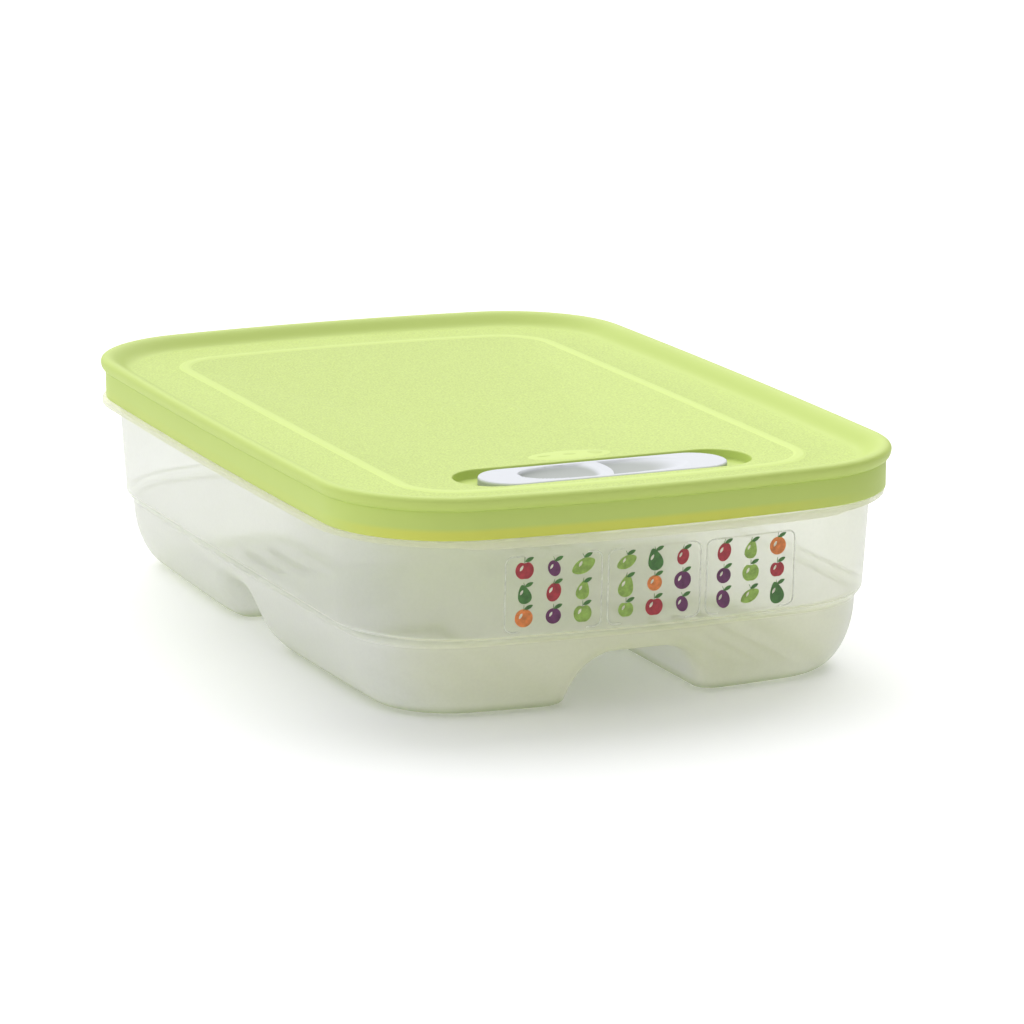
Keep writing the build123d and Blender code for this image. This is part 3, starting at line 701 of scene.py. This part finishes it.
# %% Front wall as a surface
def on_front_wall(x, z, out):
    """Points on the container's front wall at a place across and a height, `out` mm off it."""
    share = (z - LEDGE_TOP_Z) / (FLANGE_UNDER - LEDGE_TOP_Z)
    half_x = LID_HALF_X - LEDGE_IN_X + (LEDGE_IN_X - WALL_TOP_IN) * share
    half_y = LID_HALF_Y - LEDGE_IN_Y + (LEDGE_IN_Y - WALL_TOP_IN) * share
    radius = (WALL_END_BOW ** 2 + (half_x - WALL_SIDE_BOW) ** 2) / (2 * WALL_END_BOW)
    y = half_y - radius + np.sqrt(radius ** 2 - x ** 2)
    return np.stack([x, -y - out, z], axis=-1)


INK_SINK = -0.02


def patch(outline, x, z, size, turn=0.0, out=0.08, rounds=3):
    """A flat shape, from a closed outline of (n, 2) points round its middle."""
    c, s = np.cos(np.radians(turn)), np.sin(np.radians(turn))
    outline = outline @ np.array([[c, s], [-s, c]]) * size
    share = np.concatenate([np.linspace(0, 1, rounds + 1), [1.0, 0.0]])[:, None]
    off = np.concatenate([np.full(rounds + 1, out), [INK_SINK, INK_SINK]])[:, None]
    return band(on_front_wall(x + share * outline[:, 0], z + share * outline[:, 1], off))


def frame_line(x, z, half_x, half_z, corner, width, top=0.06):
    """A thin frame with round corners: an outer and an inner outline with a top and a base."""
    turn = np.radians(np.arange(0, 360, 5))
    cx, cz = np.sign(np.cos(turn + 1e-6)), np.sign(np.sin(turn + 1e-6))
    loops = []
    for inset, out in ((0, top), (width, top), (width, INK_SINK), (0, INK_SINK), (0, top)):
        radius = corner - inset
        loops.append(on_front_wall(x + cx * (half_x - corner) + radius * np.cos(turn),
                                   z + cz * (half_z - corner) + radius * np.sin(turn), out))
    return band(np.stack(loops))


# %% Simple fruit outlines
turn = np.linspace(0, 2 * np.pi, 40, endpoint=False)
cos, sin = np.cos(turn), np.sin(turn)
OUTLINES = {
    "round": np.column_stack([cos, sin]),
    "apple": np.column_stack([cos, sin]) * (1.02 - 0.24 * np.exp(-((turn - np.pi / 2) / 0.35) ** 2)
                                            - 0.1 * np.exp(-((turn - 1.5 * np.pi) / 0.3) ** 2))[:, None],
    "pear": np.column_stack([cos * (0.82 - 0.34 * sin), 1.25 * sin]),
    "plum": np.column_stack([0.8 * cos, 1.05 * sin]),
    "lemon": np.column_stack([1.25 * cos * (1 + 0.12 * cos ** 6), 0.8 * sin]),
    "leaf": np.column_stack([cos, 0.42 * sin * np.abs(sin) ** 0.6]),
    "stem": np.column_stack([0.09 * cos, sin])}
RED, GREEN, DARK_GREEN, PURPLE, ORANGE, PALE, LINE = range(7)
FRUITS = [("apple", RED, 0), ("pear", GREEN, -12), ("plum", PURPLE, 20), ("round", ORANGE, 0),
          ("lemon", GREEN, 25), ("round", PURPLE, 0), ("pear", DARK_GREEN, 14), ("apple", GREEN, 0),
          ("plum", RED, -18)]

# %% Three frames of fruit
FRAME_PITCH, FRAME_Z, FRAME_HALF_X, FRAME_HALF_Z = 33.6, 41.0, 15.9, 12.2
FRAME_CORNER, FRAME_WIDTH = 2.6, 0.35
FRUIT_PITCH_X, FRUIT_PITCH_Z = 9.6, 7.6
FRUIT_SIZES = (2.9, 2.5)
shapes, inks = [], []
for number in range(3):
    middle = (number - 1) * FRAME_PITCH
    shapes.append(frame_line(middle, FRAME_Z, FRAME_HALF_X, FRAME_HALF_Z, FRAME_CORNER, FRAME_WIDTH))
    inks.append(LINE)
    for cell in range(9):
        kind, ink, lean = FRUITS[(cell * 2 + number * 4) % 9]
        x = middle + (cell % 3 - 1) * FRUIT_PITCH_X
        z = FRAME_Z + (1 - cell // 3) * FRUIT_PITCH_Z
        size = FRUIT_SIZES[(cell + number) % 2]
        shine_x, shine_z = x - 0.35 * size, z + 0.25 * size
        shapes += [patch(OUTLINES[kind], x, z, size, lean),
                   patch(OUTLINES["stem"], x, z + size + 0.4, 1.0, lean, 0.1),
                   patch(OUTLINES["leaf"], x + 1.5, z + size + 0.5, 1.5, 24, 0.1),
                   patch(OUTLINES["leaf"], shine_x, shine_z, 0.34 * size, 60, 0.12)]
        inks += [ink, DARK_GREEN, DARK_GREEN, PALE]


def ink_finish(name, *colour):
    """Satin printing ink with a little unevenness."""
    material, add = new_material(name)
    thin, full = (srgb(*(min(255, share * c) for c in colour)) for share in (1.12, 0.78))
    shade = blend(add, melt_clouds(add, 1.8 * MM, 1.6), full, thin)
    ink = add("ShaderNodeBsdfPrincipled", {"Base Color": shade, "Roughness": 0.45})
    add("ShaderNodeOutputMaterial", {"Surface": ink.outputs["BSDF"]})
    return material


ink_list = [ink_finish("ink_" + name, *colour) for name, colour in (
    ("red", (172, 52, 60)), ("green", (150, 182, 84)), ("dark_green", (70, 118, 54)),
    ("purple", (104, 48, 92)), ("orange", (226, 132, 66)), ("pale", (236, 232, 206)),
    ("line", (226, 230, 214)))]
piece("container_front_print", shapes, "container", ink_list, tints=inks)

# %% [markdown]
# ## Lid
# The lid's section runs from the raised line outwards: panel, cove up to the crest, rolled
# bead, crease, skirt, then back under: skirt inside, the groove that takes the container's
# rim, the sealing wall and the panel's underside. The vent pocket sinks into the panel near
# one end, so the panel's edge loop is zipped to the pocket's round-ended loop.

# %% Section of the lid
line_share = np.linspace(-1, 1, 15)
shift = line_share * LINE_HALF
raised_line = rows(LINE_X + shift, LINE_Y + shift, LINE_SIDE_BOW, LINE_END_BOW, LINE_CORNER + shift,
                   LINE_CORNER + shift, PANEL_Z + LINE_LIFT * (1 - line_share ** 4) ** 1.5)
cove_share = np.linspace(0, 1, 17)
cove = lid_rows(CREST_IN + COVE_RUN * (1 - cove_share),
                CREST_Z - (CREST_Z - PANEL_Z) * (1 + np.cos(np.pi * cove_share)) / 2)
bead_turn = np.radians(np.linspace(90, 0, 10))[1:]
bead_upper = lid_rows(CREST_IN * (1 - np.cos(bead_turn)),
                      WIDEST_Z + (CREST_Z - WIDEST_Z) * np.sin(bead_turn))
tuck_turn = np.radians(np.linspace(0, -TUCK_TURN, 8))[1:]
bead_lower = lid_rows(CREST_IN * (1 - np.cos(tuck_turn)),
                      WIDEST_Z + (WIDEST_Z - CREASE_Z) * np.sin(tuck_turn))
skirt = lid_rows([SKIRT_IN + CREASE_STEP, SKIRT_IN, SKIRT_IN],
                 [CREASE_Z, CREASE_Z - CREASE_FALL, SKIRT_LOW + 1])
insets = [SKIRT_IN, SKIRT_IN, SKIRT_INNER_IN, SKIRT_INNER_IN, PLUG_OUTER_IN, PLUG_OUTER_IN,
          PLUG_INNER_IN, PLUG_INNER_IN, PLUG_INNER_IN + UNDER_RUN]
heights = [SKIRT_LOW + 0.9, SKIRT_LOW, SKIRT_LOW, GROOVE_TOP, GROOVE_TOP, PLUG_LOW, PLUG_LOW,
           PANEL_UNDER, PANEL_UNDER]
underside = soften(lid_rows(insets, heights), UNDER_ROUND)
edge_levels = np.concatenate([cove, bead_upper, bead_lower, skirt, underside])
lid_lines = (LID_NEAR_Y, LID_NEAR_X, 12, 32)
line_ring, edge_ring = rings(raised_line, *lid_lines), rings(edge_levels, *lid_lines)
flat_ring = np.concatenate([line_ring[-1:], edge_ring[:1]])
print("Levels in the line and the edge:", len(line_ring), len(edge_ring))


# %% Round-ended loops for the vent
def stadium(length, width, z, cap=48, run=20):
    """Loops of a round-ended slot, anticlockwise: two half circles joined by straight runs.
    Length, width and z may be arrays, one loop for each."""
    length, width, z = np.broadcast_arrays(np.atleast_1d(length), width, z)
    radius, straight = width[:, None] / 2, (length - width)[:, None] / 2
    turn = np.radians(np.linspace(-90, 90, cap + 1))
    step = np.linspace(1, -1, run + 1)[1:-1]
    right = np.stack([straight + radius * np.cos(turn), radius * np.sin(turn)], axis=-1)
    back = np.stack([straight * step, radius + 0 * step], axis=-1)
    half = np.concatenate([right, back], axis=1)
    loop = np.concatenate([half, -half], axis=1) + [0, VENT_Y]
    return np.dstack([loop, np.broadcast_to(z[:, None, None], loop.shape[:2] + (1,))])


# %% A plate with slots through it
def slotted_plate(x_end, y_end, slots, low, high):
    """Top, underside and slot walls of a rectangle on the vent's middle. Grid lines run along
    every slot's edge; a cell inside a slot is left out, and walls stand where a kept cell
    meets an empty one."""
    slots = np.array(slots)
    x = np.unique(np.concatenate([slots[:, :2].ravel(), [-x_end, 0, x_end]]))
    y = np.unique(np.concatenate([slots[:, 2:].ravel(), [-y_end, y_end]]))
    mid_x, mid_y = np.meshgrid((x[:-1] + x[1:]) / 2, (y[:-1] + y[1:]) / 2, indexing="ij")
    inside = ((mid_x[None] > slots[:, 0, None, None]) & (mid_x[None] < slots[:, 1, None, None])
              & (mid_y[None] > slots[:, 2, None, None]) & (mid_y[None] < slots[:, 3, None, None]))
    solid = ~inside.any(axis=0)
    grid = np.stack([*np.meshgrid(x, y + VENT_Y, indexing="ij"), np.zeros((len(x), len(y)))], axis=-1)
    count = grid.shape[0] * grid.shape[1]
    index = np.arange(count).reshape(len(x), len(y))
    cells = np.stack([index[:-1, :-1], index[1:, :-1], index[1:, 1:], index[:-1, 1:]], axis=-1)[solid]
    points = np.concatenate([grid.reshape(-1, 3) + [0, 0, high], grid.reshape(-1, 3) + [0, 0, low]])
    faces = [cells, cells[:, ::-1] + count]
    step_x = solid[1:] != solid[:-1]
    a, b = index[1:-1, :-1][step_x], index[1:-1, 1:][step_x]
    faces.append(np.stack([a, b, b + count, a + count], axis=1))
    step_y = solid[:, 1:] != solid[:, :-1]
    a, b = index[:-1, 1:-1][step_y], index[1:, 1:-1][step_y]
    faces.append(np.stack([a, b, b + count, a + count], axis=1))
    edge = np.concatenate([index[:-1, 0], index[-1, :-1], index[:0:-1, -1], index[0, :0:-1]])
    return (points, np.concatenate(faces)), points[edge], points[edge + count]


# %% Vent pocket
LIP_ROUND, POCKET_DRAFT, FLOOR_ROUND, UNDER_POCKET_ROUND = 0.5, 0.25, 0.5, 0.4
PLATE_X, PLATE_Y, LIP_DEPTH = 42.0, 7.0, 1.5
slots = [(side * middle - half_x, side * middle + half_x, -half_y, half_y)
         for middle, half_x, half_y in ((AIR_X, AIR_HALF_X, AIR_HALF_Y),
                                        (LEG_X, LEG_SLOT_HALF_X, LEG_SLOT_HALF_Y))
         for side in (-1, 1)]
plate, plate_top, plate_low = slotted_plate(PLATE_X, PLATE_Y, slots, POCKET_UNDER, POCKET_FLOOR)
turn = np.radians(np.linspace(0, 90, 6))
grow = np.concatenate([LIP_ROUND * (1 - np.sin(turn)), [0.0, -POCKET_DRAFT],
                       -POCKET_DRAFT - FLOOR_ROUND * np.array([0.1, 0.4, 1.0])])
z = np.concatenate([PANEL_Z - LIP_ROUND * (1 - np.cos(turn)),
                    [PANEL_Z - LIP_DEPTH, POCKET_FLOOR + FLOOR_ROUND],
                    POCKET_FLOOR + FLOOR_ROUND * np.array([0.5, 0.15, 0.0])])
pocket = stadium(POCKET_LENGTH + 2 * grow, POCKET_WIDTH + 2 * grow, z)
curve = UNDER_POCKET_ROUND * np.array([1, 0.25, 0])
grow = POCKET_WALL + np.concatenate([curve, -curve[::-1]])
z = np.concatenate([PANEL_UNDER - curve[::-1], POCKET_UNDER + curve])
under_pocket = stadium(POCKET_LENGTH + 2 * grow, POCKET_WIDTH + 2 * grow, z)
vent_middle = np.array([0.0, VENT_Y])

# %% Lid in one skin
lid = piece(
    "keeper_lid",
    [zipper(line_ring[0], pocket[0], vent_middle), band(line_ring), band(flat_ring),
     band(edge_ring), zipper(edge_ring[-1], under_pocket[0], vent_middle), band(pocket),
     zipper(pocket[-1], plate_top, vent_middle), band(under_pocket),
     zipper(under_pocket[-1], plate_low, vent_middle), plate],
    "lid", [lid_panel_finish, lid_smooth_finish, lid_line_painted_sheen_finish], sharp=40,
    tints=[0, 2, 0, 1, 0, 1, 1, 1, 1, 1])
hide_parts("lid")

# %% [markdown]
# ## Position marks
# A low oval beside the vent carries three small marks that say how far the vent is open.
# It is moulded with the lid; as a shallow dome it can lie on the panel as a piece of its own.

# %% Mark pad and its marks
PAD_X, PAD_Y, PAD_LENGTH, PAD_WIDTH, PAD_LIFT = -2.4, VENT_Y + 21.0, 29.0, 12.5, 0.33
MARK_PITCH, MARK_LENGTH, MARK_WIDTHS, MARK_LIFT = 8.8, 5.2, (1.6, 3.2, 4.8), 0.14
MARK_SINK, DOME_SINK = 0.05, 0.03


def dome(centre_x, centre_y, z, half_x, half_y, lift, rounds=4, around=32):
    """A shallow closed dome over an oval: height = lift · (1 - r⁴), with a flat underside."""
    share = np.concatenate([np.linspace(0, 1, rounds + 1), [1.0, 0.0]])[:, None]
    turn = np.linspace(0, 2 * np.pi, around, endpoint=False)
    top = np.arange(rounds + 3)[:, None] <= rounds
    height = np.where(top, lift * (1 - share ** 4), 0) - DOME_SINK
    return band(np.stack([centre_x + half_x * share * np.cos(turn),
                          centre_y + half_y * share * np.sin(turn), z + height + 0 * turn], axis=-1))


pad = dome(PAD_X, PAD_Y, PANEL_Z, PAD_LENGTH / 2, PAD_WIDTH / 2, PAD_LIFT, rounds=8, around=64)
# The pad takes the raised line's finish, painted sheen and all.
piece("lid_mark_pad", [pad], "lid", [lid_line_painted_sheen_finish])
marks = [dome(PAD_X + step * MARK_PITCH, PAD_Y, PANEL_Z + PAD_LIFT - MARK_SINK, MARK_LENGTH / 2,
              width / 2, MARK_LIFT) for step, width in zip((-1, 0, 1), MARK_WIDTHS)]
piece("lid_position_marks", marks, "lid", [lid_smooth_finish])


# %% Gate marks
def ridge(centre_x, centre_y, z, radius, width, lift, around=96):
    """A low round-topped ring that lies on a face."""
    turn = np.radians(np.linspace(0, 180, 7))
    across = np.concatenate([width / 2 * np.cos(turn), [-width / 2, width / 2, width / 2]])[:, None]
    up = np.concatenate([lift * np.sin(turn), [-DOME_SINK, -DOME_SINK, 0.0]])[:, None]
    around = np.linspace(0, 2 * np.pi, around, endpoint=False)
    return band(np.stack([centre_x + (radius + across) * np.cos(around),
                          centre_y + (radius + across) * np.sin(around), z + up + 0 * around], axis=-1))


GATE, PIN_MARK = (-0.8, -2.4, PANEL_Z), (21.7, -65.2, PANEL_Z)
piece("lid_gate_marks", [dome(*GATE, 1.1, 1.1, 0.2), ridge(*GATE, 12.8, 0.9, 0.05),
                         dome(*PIN_MARK, 1.0, 1.0, 0.12)],
      "lid", [lid_smooth_finish])

# %% [markdown]
# ## Slider
# The slider is a shallow round-ended shell. Its face has a boat-shaped hollow for a
# fingertip, and a cross rib that rises gently from one side and drops in a curved step on
# the other, so the finger has something to push. The face is a height over a grid of
# columns that narrow to a point at both ends; the sides and the underside close it.

# %% Face of the slider
EDGE_ROUND, RAMP_FROM, RAMP_RUN, STEP_RUN, CROSS_RIB_SHARE = 0.6, -7.5, 4.5, 0.4, 0.85
CROSS_RIB_X, CROSS_RIB_SLANT, CROSS_RIB_CURVE = 2.3, 0.12, 0.021
SCOOP_FULL_X, SCOOP_FALL, SCOOP_LEAST = -24, 0.012, 0.7
ROOF_GAP = 0.02
CAP_RADIUS, STRAIGHT_HALF = SLIDER_WIDTH / 2, (SLIDER_LENGTH - SLIDER_WIDTH) / 2
BEND_REACH = 18.0
LEG_HALF, LEG_HALF_THICK, BARB = 2.5, 1.2, 0.7
LEG_TOP, BARB_TOP, LEG_LOW = 68.2, 63.25, 62.05


def rib_edge(y):
    """Where the rib's steep side runs: a curve that bulges away from the ramp."""
    return CROSS_RIB_X + CROSS_RIB_SLANT * y - CROSS_RIB_CURVE * y ** 2


def face_height(x, y, from_rib):
    """Face of the slider: flat, rounded over at its edge, with the finger hollow in it. The
    hollow's section is depth · √(1 - (y/w)²), where w follows a long boat outline. Along
    the slider the depth falls off slowly, and the rib fills it as a ramp with one steep side."""
    from_edge = CAP_RADIUS - np.hypot(np.maximum(np.abs(x) - STRAIGHT_HALF, 0), y)
    over = np.clip(EDGE_ROUND - from_edge, 0, EDGE_ROUND)
    drop = EDGE_ROUND - np.sqrt(np.maximum(EDGE_ROUND ** 2 - over ** 2, 0))
    half = SCOOP_HALF_WIDTH * np.sqrt(np.clip(1 - (x / SCOOP_HALF) ** 4, 1e-6, 1))
    section = np.sqrt(np.clip(1 - (y / half) ** 2, 0, 1)) * (np.abs(x) < SCOOP_HALF)
    left = SCOOP_DEPTH * np.clip(1.0 + SCOOP_FALL * (SCOOP_FULL_X - x), SCOOP_LEAST, 1)
    right = SCOOP_DEPTH * np.clip((SCOOP_HALF + 1 - x) / SCOOP_HALF, 0, 1)
    depth = np.where(from_rib > 0, right, left) * section
    rise = np.clip((from_rib - RAMP_FROM) / RAMP_RUN, 0, 1)
    step = np.clip(1 - from_rib / STEP_RUN, 0, 1)
    rib = np.where(from_rib < 0, rise ** 2 * (3 - 2 * rise), step)
    return SLIDER_TOP - drop - depth * (1 - CROSS_RIB_SHARE * rib)


# %% Slider and its legs
def slider_block():
    """Cross sections along the slider, each a closed loop: over the face, down the side,
    along the rim, through the hollow underneath and back. Near the middle the sections bend,
    so that one of them runs along the rib's steep side."""
    cap = STRAIGHT_HALF + CAP_RADIUS * np.sin(np.radians(np.linspace(0, 90, 33)))
    fine = np.array([-0.6, -0.3, -0.1, 0.0, 0.1, 0.2, 0.3, 0.4, 0.5, 0.7])
    even = np.linspace(-STRAIGHT_HALF, STRAIGHT_HALF, 121)[1:-1]
    x = np.unique(np.concatenate([-cap, even, cap, fine]))
    half = np.sqrt(np.maximum(CAP_RADIUS ** 2 - np.maximum(np.abs(x) - STRAIGHT_HALF, 0) ** 2, 0))
    rim = np.maximum(half - SLIDER_WALL, 0) * (np.abs(x) < SLIDER_LENGTH / 2 - SLIDER_WALL)
    across = np.sin(np.radians(np.linspace(-90, 90, 61)))
    bend = np.clip(1 - np.abs(x) / BEND_REACH, 0, 1)[:, None]
    y = half[:, None] * across
    z = face_height(x[:, None] + rib_edge(y) * bend, y, x[:, None] + 0 * y)
    low = np.full_like(x, SLIDER_LOW)
    roof = np.where(rim > 0, np.maximum(z.min(axis=1) - SLIDER_SKIN, SLIDER_LOW + ROOF_GAP), low)
    y = np.column_stack([y, half, rim, rim, -rim, -rim, -half])
    z = np.column_stack([z, low, low, roof, roof, low, low])
    return band(np.stack([x[:, None] + rib_edge(y) * bend, y + VENT_Y, z], axis=-1))


def leg_block(side):
    """A leg with its barb: an outline in x and z, carried across the slider."""
    x = side * (LEG_X + np.array([-LEG_HALF, LEG_HALF, LEG_HALF, LEG_HALF + BARB, LEG_HALF, -LEG_HALF]))
    z = np.array([LEG_TOP, LEG_TOP, BARB_TOP, BARB_TOP, LEG_LOW, LEG_LOW])
    y = VENT_Y + LEG_HALF_THICK * np.array([-1, -1, 1, 1])[:, None]
    size = np.array([0.0, 1.0, 1.0, 0.0])[:, None]
    return band(np.stack([x.mean() + (x - x.mean()) * size, y + 0 * x,
                          z.mean() + (z - z.mean()) * size], axis=-1))


slider = piece("keeper_vent_slider", [slider_block()], "vent", [vent_finish], sharp=50)
piece("vent_slider_legs", [leg_block(-1), leg_block(1)], "vent", [vent_finish], sharp=25)
SLIDER_GATE = (-35.0, VENT_Y + 2.1, SLIDER_TOP - 0.02)
piece("vent_slider_gate_mark", [dome(*SLIDER_GATE, 0.9, 0.9, 0.1)], "vent", [vent_finish])
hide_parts("vent_slider")

# %% [markdown]
# ## Shutter
# The plate under the pocket shows only when the lid is off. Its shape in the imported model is
# right as it is, so that mesh stays and only takes the vent's white plastic.

# %% Shutter finish
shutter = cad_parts["vent_shutter"]
shutter.data.materials.clear()
shutter.data.materials.append(vent_finish)

# %% [markdown]
# ## Floor, light and camera
# The keeper stands on an endless pale sweep. One broad lamp from above and behind gives the
# bright lid and leaves the front quiet, and a small panel overhead lifts the lid's near right
# corner. The pale room is brighter at the left and behind, which gives the lighter long side.
# The floor's own glow for the camera lets it meet the white backdrop without an edge. The
# glow is weaker round a spot under the keeper's front, which paints a darker pool of shadow
# there on top of the soft shadow that the lamps cast.

# %% Floor
FLOOR_HALF, FLOOR_Z = 12.0, -0.2 * MM
# Painted shadow: the camera-only glow is weaker round a spot under the keeper's front, which darkens the
# floor there beyond its real shadow.
PAINTED_SHADOW_MIDDLE, PAINTED_SHADOW_NEAR, PAINTED_SHADOW_FAR = (-50 * MM, -110 * MM, 0.0), 40 * MM, 200 * MM
GLOW_NEAR, GLOW_FAR = 0.09, 0.26

floor_finish, add = new_material("pale_sweep")
place = add("ShaderNodeTexCoord").outputs["Object"]
away = add("ShaderNodeVectorMath", {0: place, 1: PAINTED_SHADOW_MIDDLE}, operation="DISTANCE")
glow = ramp(add, away.outputs["Value"], PAINTED_SHADOW_NEAR, PAINTED_SHADOW_FAR, GLOW_NEAR, GLOW_FAR, "LINEAR")
lift = add("ShaderNodeEmission", {"Color": WHITE, "Strength": glow})
dark = add("ShaderNodeEmission", {"Strength": 0.0})
path = add("ShaderNodeLightPath").outputs
seen = calc(add, "MAXIMUM", path["Is Camera Ray"], path["Is Glossy Ray"])
seen = calc(add, "MAXIMUM", seen, path["Is Transmission Ray"])
lifted = mix_shaders(add, seen, dark.outputs["Emission"], lift.outputs["Emission"])
matt = add("ShaderNodeBsdfDiffuse", {"Color": (0.92, 0.92, 0.92, 1)})
total = add("ShaderNodeAddShader", {0: matt.outputs["BSDF"], 1: lifted})
add("ShaderNodeOutputMaterial", {"Surface": total.outputs["Shader"]})

floor_mesh = bpy.data.meshes.new("floor")
corners = [(x * FLOOR_HALF, y * FLOOR_HALF, FLOOR_Z) for x, y in ((-1, -1), (1, -1), (1, 1), (-1, 1))]
floor_mesh.from_pydata(corners, [], [(0, 1, 2, 3)])
floor_mesh.materials.append(floor_finish)
floor = bpy.data.objects.new("floor", floor_mesh)
bpy.context.collection.objects.link(floor)

# %% World
LEFT_LIGHT, RIGHT_LIGHT, FRONT_LIGHT, BACK_LIGHT = 1.28, 0.3, 0.44, 1.3
world = bpy.data.worlds.new("pale_room")
bpy.context.scene.world = world
world.use_nodes = True
world.node_tree.nodes.clear()
add = adder(world.node_tree)
x, y, z = places(add, "Generated")
strength = calc(add, "MULTIPLY", ramp(add, x, -1.0, 1.0, LEFT_LIGHT, RIGHT_LIGHT, "LINEAR"),
                ramp(add, y, -1.0, 1.0, FRONT_LIGHT, BACK_LIGHT, "LINEAR"))
room = add("ShaderNodeBackground", {"Color": (0.98, 0.99, 1.0, 1), "Strength": strength})
backdrop = add("ShaderNodeBackground", {"Color": WHITE, "Strength": 1.0})
path = add("ShaderNodeLightPath").outputs
seen = calc(add, "MAXIMUM", path["Is Camera Ray"], path["Is Transmission Ray"])
mixed = mix_shaders(add, seen, room.outputs["Background"], backdrop.outputs["Background"])
add("ShaderNodeOutputWorld", {"Surface": mixed})


# %% Lamps
def lamp(name, kind, toward, location=(0, 0, 0), **settings):
    """A lamp whose light comes from the direction `toward`."""
    light = bpy.data.lights.new(name, kind)
    for key, value in settings.items():
        setattr(light, key, value)
    obj = bpy.data.objects.new(name, light)
    obj.location = location
    obj.rotation_euler = Vector(toward).to_track_quat("Z", "Y").to_euler()
    bpy.context.collection.objects.link(obj)


lamp("broad_lamp", "SUN", (0.35, 0.7, 1.0), energy=1.6, angle=np.radians(60))
lamp("overhead_panel", "AREA", (0.12, -0.1, 1.0), (0.26, -0.2, 0.62), shape="DISK", size=0.4,
     energy=0.36)

# %% Camera
AZIMUTH, ELEVATION, ROLL = np.radians([-23.40, 12.90, 0.18])
DISTANCE, AIM = 1645.0, np.array([4.68, -16.39, 37.28])
FOCAL_PIXELS, PICTURE_PIXELS = 4952.8, 1024

back = np.array([np.sin(AZIMUTH) * np.cos(ELEVATION), -np.cos(AZIMUTH) * np.cos(ELEVATION),
                 np.sin(ELEVATION)])
right = np.cross(-back, [0, 0, 1])
right /= np.linalg.norm(right)
up = np.cross(right, -back)
right, up = right * np.cos(ROLL) + up * np.sin(ROLL), up * np.cos(ROLL) - right * np.sin(ROLL)
spot = AIM + back * DISTANCE
lens = bpy.data.cameras.new("camera")
lens.sensor_width = 36.0
lens.lens = FOCAL_PIXELS * lens.sensor_width / PICTURE_PIXELS
lens.clip_start, lens.clip_end = 0.05, 60
camera = bpy.data.objects.new("camera", lens)
pose = Matrix.Identity(4)
pose.col[0][:3], pose.col[1][:3], pose.col[2][:3] = right, up, back
pose.col[3][:3] = spot * MM
camera.matrix_world = pose
bpy.context.collection.objects.link(camera)
bpy.context.scene.camera = camera
bpy.context.scene.view_settings.view_transform = "Standard"
print("Camera at", np.round(spot, 1), "mm, lens", round(lens.lens, 1), "mm")
